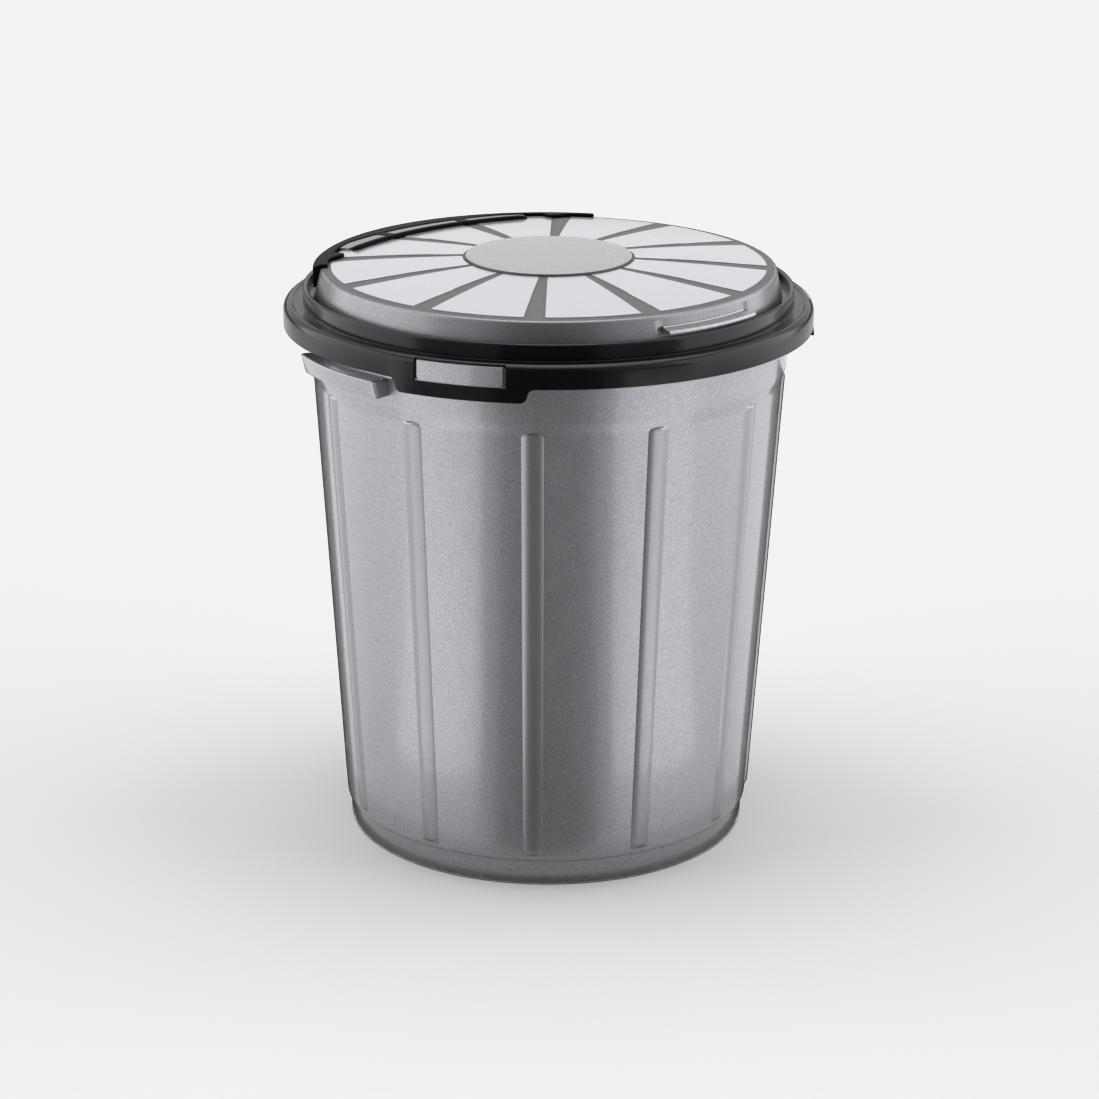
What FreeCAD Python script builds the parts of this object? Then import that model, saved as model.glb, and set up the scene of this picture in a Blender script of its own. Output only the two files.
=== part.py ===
"""Round waste bin with a clip-on ring and a hinged, ribbed lid.

The origin is the middle of the footprint on the floor, +Z is up, -Y is the front (the lid's lift lip)
and +Y is the hinge side. Lengths are millimetres and angles are degrees.
"""
import FreeCAD, Part
import math
import os
import Sketcher

Vector = FreeCAD.Vector

# Driving dimensions: one row per size, kept in the document's sheet under these names.
SIZES = {
    # bucket
    "foot_inset": 3.4,
    "foot_height": 22.0,
    "foot_draft": 0.6,
    "foot_wall": 3.4,
    "base_radius": 170.4,
    "base_round": 2.6,
    "neck_radius": 197.0,
    "neck_step": 1.6,
    "neck_depth": 51.0,
    "neck_slope": 5.0,
    "bucket_wall": 2.0,
    "floor_wall": 3.0,
    "floor_round": 8.0,
    "rim_height": 448.4,
    "rim_overhang": 14.4,
    "rim_wall": 2.4,
    "rim_lip": 16.0,
    "rim_round": 3.0,
    "flute_count": 12.0,
    "flute_angle": 5.3,
    "flute_rise": 1.5,
    "flute_top_gap": 57.0,
    "flute_round": 4.0,
    "flute_skin_share": 1.1,
    # lugs on the bucket and the clasps of the ring that snap over them
    "lug_angle": 18.6,
    "lug_reach": 3.4,
    "lug_lip": 2.0,
    "lug_lip_rise": 0.6,
    "lug_foot_gap": 0.6,
    "lug_corner": 4.0,
    "clasp_front_angle": 60.0,
    "clasp_rear_angle": 150.0,
    "window_gap": 0.4,
    "window_gap_angle": 0.4,
    "tongue_drop": 10.7,
    "tongue_width": 96.0,
    "shoulder_width": 11.5,
    # carry grips under the ring
    "grip_angle": 95.0,
    "grip_width_angle": 27.4,
    "grip_reach": 17.9,
    "grip_wall": 2.6,
    "grip_end": 1.0,
    "grip_depth": 15.0,
    "grip_below_ring": 8.4,
    "grip_corner": 3.0,
    "flange_angle": 34.0,
    "flange_reach": 7.0,
    "flange_wall": 2.4,
    "flange_above_grip": 1.4,
    # ring
    "skirt_gap": 1.8,
    "skirt_height": 18.8,
    "skirt_wall": 2.4,
    "ledge_round": 6.0,
    "ledge_rise": 0.2,
    "seat_gap": 0.4,
    "collar_out": 2.8,
    "collar_wall": 4.6,
    "collar_height": 12.6,
    "collar_step": 2.4,
    "collar_step_rise": 4.6,
    "shelf_width": 11.8,
    "shelf_wall": 2.2,
    "shelf_rise": 4.8,
    "bag_wall": 2.2,
    "bag_depth": 14.0,
    # lid
    "lid_side_gap": 5.4,
    "lid_height": 26.6,
    "lid_flare": 5.0,
    "lid_round": 3.0,
    "lid_wall": 2.4,
    "lid_skin": 2.2,
    "lid_seat_gap": 0.4,
    "dome_rise": 7.4,
    "panel_rise": 0.8,
    "panel_border": 3.6,
    "panel_hub_gap": 5.6,
    "rib_angle": 5.3,
    "disc_radius": 68.4,
    "disc_rise": 2.6,
    "disc_round": 1.6,
    "lip_angle": 27.0,
    "lip_reach": 12.6,
    "lip_wall": 3.2,
    "lip_lift": 1.0,
    "recess_depth": 2.2,
    "recess_band": 3.4,
    "recess_margin_angle": 1.2,
    # hinge yoke over the back of the lid, its arms, pins and the ears on the ring
    "yoke_angle": 104.0,
    "yoke_reach": 6.2,
    "yoke_depth": 37.4,
    "yoke_tip": 9.0,
    "yoke_rise": 2.8,
    "yoke_edge_drop": 3.0,
    "yoke_edge": 9.0,
    "yoke_gap": 0.1,
    "yoke_lip": 16.6,
    "bead_round": 1.4,
    "slot_offset": 8.0,
    "slot_width": 12.0,
    "bridge_width": 8.0,
    "slot_middle_width": 74.0,
    "slot_side_width": 54.0,
    "rib_gap": 0.4,
    "rib_sink": 1.4,
    "axis_out": 5.6,
    "axis_below_collar": 0.8,
    "pin_radius": 1.6,
    "knuckle_radius": 4.0,
    "knuckle_width": 16.0,
    "knuckle_place": 38.0,
    "arm_lift": 1.2,
    "ear_wall": 5.0,
    "ear_sink": 2.0,
    "side_gap": 0.3,
    "running_fit": 0.05,
    "press_fit": 0.01,
    # every cut runs this far past the face that it opens
    "overrun": 4.0,
}

doc = FreeCAD.newDocument("waste_bin")
sheet = doc.addObject("Spreadsheet::Sheet", "sizes")
for row, (alias, number) in enumerate(SIZES.items(), start=1):
    sheet.set("A%d" % row, alias)
    sheet.set("B%d" % row, str(number))
    sheet.setAlias("B%d" % row, alias)
doc.recompute()


class Size:
    """A length or angle together with the expression that binds it to the sheet."""

    def __init__(self, value, text):
        self.value = float(value)
        self.text = text

    @staticmethod
    def of(thing):
        return thing if isinstance(thing, Size) else Size(thing, repr(float(thing)))

    def __add__(self, other):
        other = Size.of(other)
        return Size(self.value + other.value, "(%s + %s)" % (self.text, other.text))

    def __sub__(self, other):
        other = Size.of(other)
        return Size(self.value - other.value, "(%s - %s)" % (self.text, other.text))

    def __mul__(self, other):
        other = Size.of(other)
        return Size(self.value * other.value, "(%s * %s)" % (self.text, other.text))

    def __truediv__(self, other):
        other = Size.of(other)
        return Size(self.value / other.value, "(%s / %s)" % (self.text, other.text))

    def __rtruediv__(self, other):
        return Size.of(other) / self

    def __neg__(self):
        return Size(-self.value, "(0 - %s)" % self.text)

    __radd__ = __add__
    __rmul__ = __mul__


def size(alias):
    """The size of that name in the sheet."""
    return Size(sheet.get(alias), "sizes." + alias)


def root(thing):
    return Size(math.sqrt(thing.value), "sqrt(%s)" % thing.text)


def sine(thing):
    return Size(math.sin(math.radians(thing.value)), "sin(%s)" % thing.text)


def cosine(thing):
    return Size(math.cos(math.radians(thing.value)), "cos(%s)" % thing.text)


def arcsine(thing):
    return Size(math.degrees(math.asin(thing.value)), "asin(%s)" % thing.text)


ZERO = Size.of(0)
HALF = 0.5
TURN = 360.0
FRONT = -90.0
BACK = 90.0
NEAR = 1e-4

overrun = size("overrun")


class Corner:
    """One corner of an outline; `arc` is the radius of a round stretch to the next corner.

    A positive radius bends to the left of the way the outline is walked, a negative one to the right.
    """

    def __init__(self, across, up, arc=None):
        self.across = Size.of(across)
        self.up = Size.of(up)
        self.arc = arc

    def point(self):
        return Vector(self.across.value, self.up.value, 0)


def origin_part(body, role):
    return next(part for part in body.Origin.OriginFeatures if part.Role == role)


def arc_edge(start, end, radius):
    """The arc from start to end, shorter than a half turn."""
    chord = end - start
    half = chord.Length * HALF
    reach = math.sqrt(max(radius * radius - half * half, 0.0))
    left = Vector(-chord.y, chord.x, 0).normalize()
    centre = (start + end) * HALF + left * math.copysign(reach, radius)
    circle = Part.Circle(centre, Vector(0, 0, 1), abs(radius))
    first, last = (start, end) if radius > 0 else (end, start)
    begin = math.atan2(first.y - centre.y, first.x - centre.x)
    finish = math.atan2(last.y - centre.y, last.x - centre.x)
    return Part.ArcOfCircle(circle, begin, finish)


def bind(sketch, kind, places, amount):
    """Adds one dimension to a sketch and binds it to the sheet."""
    number = sketch.addConstraint(Sketcher.Constraint(kind, *places, amount.value))
    sketch.setExpression("Constraints[%d]" % number, amount.text)


def fix_corner(sketch, place, corner):
    """Ties a corner to the sketch's axes, by its distance or by lying on them."""
    for kind, amount, axis in (("DistanceX", corner.across, -2), ("DistanceY", corner.up, -1)):
        if amount.value == 0:
            sketch.addConstraint(Sketcher.Constraint("PointOnObject", *place, axis))
        elif amount.value > 0:
            bind(sketch, kind, (-1, 1, *place), amount)
        else:
            bind(sketch, kind, (*place, -1, 1), -amount)


def draw(body, name, plane, corners, turn=None, shift=None):
    """Adds a closed sketch to a body, on one of its origin planes, turned about Z or shifted along it."""
    sketch = body.newObject("Sketcher::SketchObject", name)
    sketch.AttachmentSupport = (origin_part(body, plane), [""])
    sketch.MapMode = "FlatFace"
    if turn is not None:
        sketch.AttachmentOffset = FreeCAD.Placement(Vector(), FreeCAD.Rotation(Vector(0, 1, 0), turn))
    if shift is not None:
        sketch.AttachmentOffset = FreeCAD.Placement(Vector(0, 0, shift.value), FreeCAD.Rotation())
        sketch.setExpression("AttachmentOffset.Base.z", shift.text)
    ends = []
    for here, there in zip(corners, corners[1:] + corners[:1]):
        if here.arc is None:
            number = sketch.addGeometry(Part.LineSegment(here.point(), there.point()), False)
            ends.append(((number, 1), (number, 2)))
        else:
            edge = arc_edge(here.point(), there.point(), here.arc.value)
            number = sketch.addGeometry(edge, False)
            ends.append(((number, 1), (number, 2)) if here.arc.value > 0 else ((number, 2), (number, 1)))
    for here, there in zip(ends, ends[1:] + ends[:1]):
        sketch.addConstraint(Sketcher.Constraint("Coincident", *here[1], *there[0]))
    for corner, (first, _) in zip(corners, ends):
        fix_corner(sketch, first, corner)
        if corner.arc is not None:
            radius = corner.arc if corner.arc.value > 0 else -corner.arc
            bind(sketch, "Radius", (first[0],), radius)
    return sketch


def draw_axis(sketch, start, end):
    """Adds a construction line to a sketch, for a feature to turn about."""
    number = sketch.addGeometry(Part.LineSegment(start.point(), end.point()), True)
    fix_corner(sketch, (number, 1), start)
    fix_corner(sketch, (number, 2), end)


def draw_circle(body, name, plane, across, up, radius):
    sketch = body.newObject("Sketcher::SketchObject", name)
    sketch.AttachmentSupport = (origin_part(body, plane), [""])
    sketch.MapMode = "FlatFace"
    middle = Vector(across.value, up.value, 0)
    sketch.addGeometry(Part.Circle(middle, Vector(0, 0, 1), radius.value), False)
    fix_corner(sketch, (0, 3), Corner(across, up))
    bind(sketch, "Radius", (0,), radius)
    return sketch


def spin(body, name, kind, corners, angle=None, turn=None):
    """Revolves an outline about Z, all round or over an angle centred on its own plane."""
    sketch = draw(body, name + "_outline", "XZ_Plane", corners, turn)
    feature = body.newObject("PartDesign::" + kind, name)
    feature.Profile = sketch
    feature.ReferenceAxis = (origin_part(body, "Z_Axis"), [""])
    if angle is None:
        feature.Angle = TURN
    else:
        feature.Midplane = True
        feature.Angle = angle.value
        feature.setExpression("Angle", angle.text)
    return feature


def pad(body, name, sketch, length, both_ways=False):
    feature = body.newObject("PartDesign::Pad", name)
    feature.Profile = sketch
    feature.Midplane = both_ways
    feature.Length = length.value
    feature.setExpression("Length", length.text)
    return feature


def pocket(body, name, sketch, length):
    """Cuts an outline out on both sides of its plane."""
    feature = body.newObject("PartDesign::Pocket", name)
    feature.Profile = sketch
    feature.Midplane = True
    feature.Length = length.value
    feature.setExpression("Length", length.text)
    return feature


def repeat_round(body, name, feature, count):
    """Repeats a feature evenly all round Z."""
    pattern = body.newObject("PartDesign::PolarPattern", name)
    pattern.Originals = [feature]
    pattern.Axis = (origin_part(body, "Z_Axis"), [""])
    pattern.Angle = TURN
    pattern.Occurrences = round(count.value)
    pattern.setExpression("Occurrences", count.text)
    body.Tip = pattern
    return pattern


def round_edges(body, name, radius, wanted):
    """Fillets the edges of the body's solid so far that `wanted` picks."""
    doc.recompute()
    base = body.Tip
    names = ["Edge%d" % (n + 1) for n, edge in enumerate(base.Shape.Edges) if wanted(edge)]
    if not names:
        raise RuntimeError("no edge found for " + name)
    feature = body.newObject("PartDesign::Fillet", name)
    feature.Base = (base, names)
    feature.Radius = radius.value
    feature.setExpression("Radius", radius.text)
    return feature


def new_body(label):
    body = doc.addObject("PartDesign::Body", label)
    body.Label = label
    return body


def keep_seams(body):
    """Leaves the faces of a body's features unmerged, since merging can spoil faces cut from a sphere."""
    for feature in body.Group:
        if hasattr(feature, "Refine"):
            feature.Refine = False


def turned(body, angle):
    """Turns a finished body about the bin's axis to where it belongs."""
    body.Placement = FreeCAD.Placement(Vector(), FreeCAD.Rotation(Vector(0, 0, 1), angle))


def box_outline(low_across, high_across, low_up, high_up):
    return [
        Corner(low_across, low_up),
        Corner(high_across, low_up),
        Corner(high_across, high_up),
        Corner(low_across, high_up),
    ]


def compass(angle):
    """Turns an angle counted from the front towards +X into one counted from +X."""
    return angle + FRONT


# Heights that several pieces share
floor_top = size("foot_height") + size("floor_wall")
rim_height = size("rim_height")
mouth_radius = size("neck_radius") + size("neck_step")
rim_radius = mouth_radius + size("rim_overhang")
skirt_inner = rim_radius + size("skirt_gap")
ring_radius = skirt_inner + size("skirt_wall")
collar_radius = mouth_radius + size("collar_out")
ledge_under = rim_height + size("seat_gap")
skirt_top = ledge_under + size("skirt_wall") + size("ledge_rise")
skirt_low = skirt_top - size("skirt_height")
shelf_top = skirt_top + size("shelf_rise")
collar_inner = collar_radius - size("collar_wall")
collar_top = skirt_top + size("collar_height")
lid_low = shelf_top + size("lid_seat_gap")
lid_rim = lid_low + size("lid_height") - size("shelf_rise")
lid_foot_radius = collar_inner - size("lid_side_gap")
lid_radius = lid_foot_radius - size("lid_flare")
dome_edge = lid_radius - size("lid_round")
apex = lid_rim + size("dome_rise")
dome_radius = (dome_edge * dome_edge + size("dome_rise") * size("dome_rise")) / (size("dome_rise") * 2)
axis_height = collar_top - size("axis_below_collar")
axis_back = collar_radius + size("axis_out")
yoke_radius = lid_radius + size("yoke_reach")
yoke_waist = lid_radius - size("yoke_depth")


def wall_radius(height):
    """Outer radius of the bucket's tapered wall at a height."""
    share = (height - size("foot_height")) / (rim_height - size("foot_height"))
    return size("base_radius") + (size("neck_radius") - size("base_radius")) * share


def neck_wall(height):
    """Outer radius of the wider band of the wall above its step, where the grips sit."""
    return wall_radius(height) + size("neck_step")


def dome_height(radius, lift):
    """Height of the lid's dome at a radius, on a dome that lies `lift` above its skin."""
    arc = dome_radius + lift
    return apex - dome_radius + root(arc * arc - radius * radius)


def lid_wall_radius(height):
    """Outer radius of the lid's flared side wall at a height."""
    share = (lid_rim - height) / (lid_rim - lid_low)
    return lid_radius + size("lid_flare") * share


clasp_turns = [
    compass(side * sheet.get(alias)) for alias in ("clasp_front_angle", "clasp_rear_angle") for side in (-1, 1)
]


def level_edge(edge, height):
    """True for an edge whose two ends lie at that height."""
    return len(edge.Vertexes) == 2 and all(abs(vertex.Z - height.value) < NEAR for vertex in edge.Vertexes)


def reach_of(edge):
    """Largest distance of an edge's ends from the bin's axis."""
    return max(math.hypot(vertex.X, vertex.Y) for vertex in edge.Vertexes)


def is_straight(edge):
    return edge.Curve.TypeId == "Part::GeomLine"


def round_rib(body, name, low, end, top):
    """A shallow round rib up the wall: a strip turned about a line that lies deep inside the bucket."""
    rise = size("flute_rise")
    skin = rise * size("flute_skin_share")
    half = size("flute_angle") * HALF

    def bend(height):
        width = wall_radius(height) * sine(half)
        return (width * width + rise * rise) / (rise * 2)

    def crest(height):
        return wall_radius(height) + rise

    sketch = draw(body, name + "_outline", "XZ_Plane", [
        Corner(crest(low) - skin, low),
        Corner(crest(low), low),
        Corner(crest(end), end),
        Corner(crest(top) - skin, top),
    ], TURN / sheet.get("flute_count") * HALF)
    draw_axis(sketch, Corner(crest(low) - bend(low), low), Corner(crest(top) - bend(top), top))
    feature = body.newObject("PartDesign::Revolution", name)
    feature.Profile = sketch
    feature.ReferenceAxis = (sketch, ["Axis0"])
    feature.Midplane = True
    spread = arcsine(wall_radius(low) * sine(half) / bend(low)) * 2
    feature.Angle = spread.value
    feature.setExpression("Angle", spread.text)
    return feature


def build_bucket():
    """Tapered bucket with foot ring, raised flutes, turned-over rim and four clasp lugs."""
    body = new_body("bucket")
    wall = size("bucket_wall")
    foot = size("foot_height")
    rim_under = rim_height - size("rim_wall")
    base_start = foot + size("base_round")
    inner_base = wall_radius(floor_top) - wall
    foot_radius = size("base_radius") - size("foot_inset")
    foot_inner = foot_radius - size("foot_wall")
    step = size("neck_step")
    slope = size("neck_slope")
    step_low = rim_height - size("neck_depth") - slope
    step_top = rim_height - size("neck_depth")
    step_middle = (step_low + step_top) * HALF
    bend = (step * step + slope * slope) / (step * 4)
    spin(body, "shell", "Revolution", [
        Corner(foot_inner, ZERO),
        Corner(foot_radius, ZERO),
        Corner(foot_radius + size("foot_draft"), foot),
        Corner(wall_radius(base_start) - size("base_round"), foot, size("base_round")),
        Corner(wall_radius(base_start), base_start),
        Corner(wall_radius(step_low), step_low, -bend),
        Corner((wall_radius(step_low) + neck_wall(step_top)) * HALF, step_middle, bend),
        Corner(neck_wall(step_top), step_top),
        Corner(neck_wall(rim_under), rim_under),
        Corner(rim_radius - size("rim_wall"), rim_under),
        Corner(rim_radius - size("rim_wall"), rim_height - size("rim_lip")),
        Corner(rim_radius, rim_height - size("rim_lip")),
        Corner(rim_radius, rim_height - size("rim_round"), size("rim_round")),
        Corner(rim_radius - size("rim_round"), rim_height),
        Corner(neck_wall(rim_height) - wall, rim_height),
        Corner(neck_wall(step_top) - wall, step_top),
        Corner(wall_radius(step_low) - wall, step_low),
        Corner(inner_base, floor_top + size("floor_round"), -size("floor_round")),
        Corner(inner_base - size("floor_round"), floor_top),
        Corner(ZERO, floor_top),
        Corner(ZERO, foot),
        Corner(foot_inner, foot),
    ])
    flute_top = rim_height - size("flute_top_gap")
    flute_end = flute_top - size("flute_round")
    flute = round_rib(body, "flute", base_start + size("base_round"), flute_end, flute_top)
    repeat_round(body, "flutes", flute, size("flute_count"))
    lug_low = skirt_low + size("lug_foot_gap")
    lug_reach = rim_radius + size("lug_reach")
    lug_lip = lug_reach - size("lug_lip")
    lug_shoulder = rim_height - size("rim_round")
    lip_top = rim_height + size("lug_lip_rise")
    for number, turn in enumerate(clasp_turns, start=1):
        spin(body, "lug_%d" % number, "Revolution", [
            Corner(rim_radius - size("rim_wall") * HALF, lug_low),
            Corner(lug_reach, lug_low),
            Corner(lug_reach, lip_top),
            Corner(lug_lip, lip_top),
            Corner(lug_lip, lug_shoulder),
            Corner(rim_radius - size("rim_wall") * HALF, lug_shoulder),
        ], size("lug_angle"), turn)
    round_edges(body, "lug_corners", size("lug_corner"), lambda edge: is_straight(edge)
                and level_edge(edge, lug_low) and abs(reach_of(edge) - lug_reach.value) < NEAR)
    return body


def build_grip(label, turn):
    """Carry grip: a curved band on two end webs, open above and below, on a flange of the bucket's wall."""
    body = new_body(label)
    top = skirt_low - size("grip_below_ring")
    low = top - size("grip_depth")
    radius = neck_wall(top) + size("grip_reach")
    spin(body, label + "_block", "Revolution", [
        Corner(neck_wall(low), low),
        Corner(radius, low),
        Corner(radius, top),
        Corner(neck_wall(top), top),
    ], size("grip_width_angle"))
    round_edges(body, label + "_corners", size("grip_corner"), lambda edge: is_straight(edge)
                and all(abs(math.hypot(vertex.X, vertex.Y) - radius.value) < NEAR for vertex in edge.Vertexes))
    inside = radius - size("grip_wall")
    end_angle = (size("grip_wall") + size("grip_end")) / radius * (TURN / math.pi)
    spin(body, label + "_gap", "Groove", box_outline(
        neck_wall(low) - overrun, inside, low - overrun, top + overrun), size("grip_width_angle") - end_angle)
    flange_low = top + size("flange_above_grip")
    flange_top = flange_low + size("flange_wall")
    web_top = flange_low + size("flange_wall") * HALF
    for side in (-1, 1):
        web_turn = side * (size("grip_width_angle") - end_angle * HALF).value * HALF
        spin(body, "%s_web_%d" % (label, side + 2), "Revolution", [
            Corner(neck_wall(top - size("flange_wall")), top - size("flange_wall")),
            Corner(neck_wall(top) + size("flange_reach"), top - size("flange_wall")),
            Corner(neck_wall(top) + size("flange_reach"), web_top),
            Corner(neck_wall(web_top), web_top),
        ], end_angle * HALF, web_turn)
    spin(body, label + "_flange", "Revolution", [
        Corner(neck_wall(flange_low), flange_low),
        Corner(neck_wall(flange_low) + size("flange_reach"), flange_low),
        Corner(neck_wall(flange_low) + size("flange_reach"), flange_top),
        Corner(neck_wall(flange_top), flange_top),
    ], size("flange_angle"))
    turned(body, turn)
    return body


def build_ring():
    """Clip-on ring: skirt, ledge, round-topped collar, shelf for the lid, bag wall and hinge ears."""
    body = new_body("rim_ring")
    collar = collar_radius
    step = collar + size("collar_step")
    bag_outer = collar_inner - size("shelf_width") + size("bag_wall")
    bag_low = shelf_top - size("bag_depth")
    ledge_inner = skirt_top + size("ledge_rise")
    rim_round = size("collar_wall") * HALF
    spin(body, "ring_section", "Revolution", [
        Corner(bag_outer - size("bag_wall"), bag_low),
        Corner(bag_outer, bag_low),
        Corner(bag_outer, shelf_top - size("shelf_wall")),
        Corner(collar_inner, shelf_top - size("shelf_wall")),
        Corner(collar_inner, ledge_under),
        Corner(skirt_inner, ledge_under),
        Corner(skirt_inner, skirt_low),
        Corner(ring_radius, skirt_low),
        Corner(ring_radius, skirt_top - size("ledge_round"), size("ledge_round")),
        Corner(ring_radius - size("ledge_round"), skirt_top),
        Corner(step, ledge_inner),
        Corner(step, ledge_inner + size("collar_step_rise")),
        Corner(collar, ledge_inner + size("collar_step_rise")),
        Corner(collar, collar_top - rim_round, rim_round),
        Corner(collar - rim_round, collar_top, rim_round),
        Corner(collar_inner, collar_top - rim_round),
        Corner(collar_inner, shelf_top),
        Corner(bag_outer - size("bag_wall"), shelf_top),
    ])
    lug_lip = rim_radius + size("lug_reach") - size("lug_lip")
    window_angle = size("lug_angle") + size("window_gap_angle") * 2
    for number, turn in enumerate(clasp_turns, start=1):
        spin(body, "window_%d" % number, "Groove", box_outline(
            lug_lip - size("window_gap"), ring_radius + overrun, skirt_low - overrun, skirt_top + overrun),
            window_angle, turn)
    knuckle = size("knuckle_radius")
    ear_foot = skirt_top - size("ear_sink")
    ear_outline = [
        Corner(axis_back - knuckle, ear_foot),
        Corner(axis_back + knuckle, ear_foot),
        Corner(axis_back + knuckle, axis_height, knuckle),
        Corner(axis_back, axis_height + knuckle, knuckle),
        Corner(axis_back - knuckle, axis_height),
    ]
    ear_near = size("knuckle_width") * HALF + size("side_gap")
    ear_shifts = [
        size("knuckle_place") + ear_near,
        size("knuckle_place") - ear_near - size("ear_wall"),
        -size("knuckle_place") + ear_near,
        -size("knuckle_place") - ear_near - size("ear_wall"),
    ]
    for number, shift in enumerate(ear_shifts, start=1):
        sketch = draw(body, "ear_%d_outline" % number, "YZ_Plane", ear_outline, shift=shift)
        pad(body, "ear_%d" % number, sketch, size("ear_wall"))
    bore = draw_circle(body, "ear_bore_outline", "YZ_Plane", axis_back, axis_height,
                       size("pin_radius") + size("press_fit"))
    pocket(body, "ear_bore", bore, (size("knuckle_place") + ear_near + size("ear_wall") + overrun) * 2)
    return body


def build_tongue(label, turn):
    """Clasp tongue: the bar under a window of the skirt, with shoulders that sweep down from the skirt."""
    body = new_body(label)
    drop = size("tongue_drop")
    shoulder = size("shoulder_width")
    bar = size("tongue_width") * HALF
    foot = skirt_low - drop
    bend = (shoulder * shoulder + drop * drop) / (drop * 4)
    middle = bar + shoulder * HALF
    waist = skirt_low - drop * HALF
    sketch = draw(body, label + "_outline", "YZ_Plane", [
        Corner(-bar, foot),
        Corner(bar, foot, bend),
        Corner(middle, waist, -bend),
        Corner(bar + shoulder, skirt_low),
        Corner(-bar - shoulder, skirt_low, -bend),
        Corner(-middle, waist, bend),
    ])
    pad(body, label + "_bar", sketch, ring_radius + overrun)
    spin(body, label + "_inside", "Groove", box_outline(
        ZERO, skirt_inner, foot - overrun, skirt_low + overrun))
    spin(body, label + "_outside", "Groove", box_outline(
        ring_radius, ring_radius * 2, foot - overrun, skirt_low + overrun))
    turned(body, turn)
    return body


def yoke_bend():
    """Radius of the yoke's inner edge and the place of its centre on the Y axis."""
    half = size("yoke_angle") * HALF
    tip = yoke_radius - size("yoke_tip")
    across = tip * sine(half)
    sag = yoke_waist - tip * cosine(half)
    radius = (across * across + sag * sag) / (sag * 2)
    return radius, yoke_waist - radius


def slot_outline(middle_angle, width, gap):
    """Plan of one slot of the yoke, or of the rib that stands in it with a gap all round."""
    bend, centre = yoke_bend()
    near = bend + size("slot_offset") + gap
    far = bend + size("slot_offset") + size("slot_width") - gap
    half = (width * HALF - gap) / near * (TURN * HALF / math.pi)
    first = middle_angle - half
    last = middle_angle + half
    return [
        Corner(near * sine(first), centre + near * cosine(first), -near),
        Corner(near * sine(last), centre + near * cosine(last)),
        Corner(far * sine(last), centre + far * cosine(last), far),
        Corner(far * sine(first), centre + far * cosine(first)),
    ]


def slots(gap):
    """The three slots side by side, the middle one first."""
    bend, centre = yoke_bend()
    pitch = (size("slot_middle_width") + size("slot_side_width")) * HALF + size("bridge_width")
    side_angle = pitch / (bend + size("slot_offset")) * (TURN * HALF / math.pi)
    return {
        "middle": slot_outline(ZERO, size("slot_middle_width"), gap),
        "right": slot_outline(side_angle, size("slot_side_width"), gap),
        "left": slot_outline(-side_angle, size("slot_side_width"), gap),
    }


def build_lid():
    """Domed lid with twelve raised panels, a flared wall, a lift lip in a finger recess and yoke ribs."""
    body = new_body("lid_shell")
    wall = size("lid_wall")
    skin = size("lid_skin")
    lid_round = size("lid_round")
    inner_edge = lid_radius - wall - lid_round
    inner_rim = dome_height(inner_edge, -skin)
    spin(body, "lid_section", "Revolution", [
        Corner(lid_foot_radius - wall, lid_low),
        Corner(lid_foot_radius, lid_low),
        Corner(lid_wall_radius(lid_rim - lid_round), lid_rim - lid_round, lid_round),
        Corner(dome_edge, lid_rim, dome_radius),
        Corner(ZERO, apex),
        Corner(ZERO, apex - skin, -(dome_radius - skin)),
        Corner(inner_edge, inner_rim),
        Corner(lid_wall_radius(lid_rim - lid_round) - wall, lid_rim - lid_round - skin),
    ])
    hub = size("disc_radius") + size("panel_hub_gap")
    border = dome_edge - size("panel_border")
    rise = size("panel_rise")
    inside = skin * HALF
    panel = spin(body, "panel", "Revolution", [
        Corner(hub, dome_height(hub, -inside)),
        Corner(border, dome_height(border, -inside)),
        Corner(border, dome_height(border, rise), dome_radius + rise),
        Corner(hub, dome_height(hub, rise)),
    ], TURN / size("flute_count") - size("rib_angle"))
    repeat_round(body, "panels", panel, size("flute_count"))
    recess_floor = lid_radius - size("recess_depth")
    lip_low = collar_top + size("lip_lift")
    lip_top = lip_low + size("lip_wall")
    recess_top = lid_rim - size("recess_band")
    recess_span = size("lip_angle") + size("recess_margin_angle") * 2
    spin(body, "recess_back", "Revolution", [
        Corner(recess_floor - wall, lip_low),
        Corner(lid_wall_radius(lip_low) - wall * HALF, lip_low),
        Corner(lid_wall_radius(recess_top) - wall * HALF, recess_top),
        Corner(lid_wall_radius(recess_top) - wall * HALF, lid_rim - skin * HALF),
        Corner(recess_floor - wall, lid_rim - skin * HALF),
    ], recess_span + size("recess_margin_angle") * 2, FRONT)
    spin(body, "recess", "Groove", box_outline(
        recess_floor, lid_foot_radius + overrun, lip_low + size("lip_wall") * HALF, recess_top), recess_span, FRONT)
    lip_edge = lid_radius + size("lip_reach")
    lip_nose = size("lip_wall") * HALF
    spin(body, "lift_lip", "Revolution", [
        Corner(recess_floor - wall * HALF, lip_low),
        Corner(lip_edge - lip_nose, lip_low, lip_nose),
        Corner(lip_edge, lip_low + lip_nose, lip_nose),
        Corner(lip_edge - lip_nose, lip_top),
        Corner(recess_floor - wall * HALF, lip_top),
    ], size("lip_angle"), FRONT)
    rib_top = dome_height(yoke_waist + size("slot_offset") + size("slot_width"), size("yoke_rise"))
    for place, outline in slots(size("rib_gap")).items():
        sketch = draw(body, "rib_%s_outline" % place, "XY_Plane", outline, shift=lid_rim - skin * HALF)
        pad(body, "rib_" + place, sketch, rib_top - size("rib_sink") - lid_rim + skin * HALF)
    return body


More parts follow.
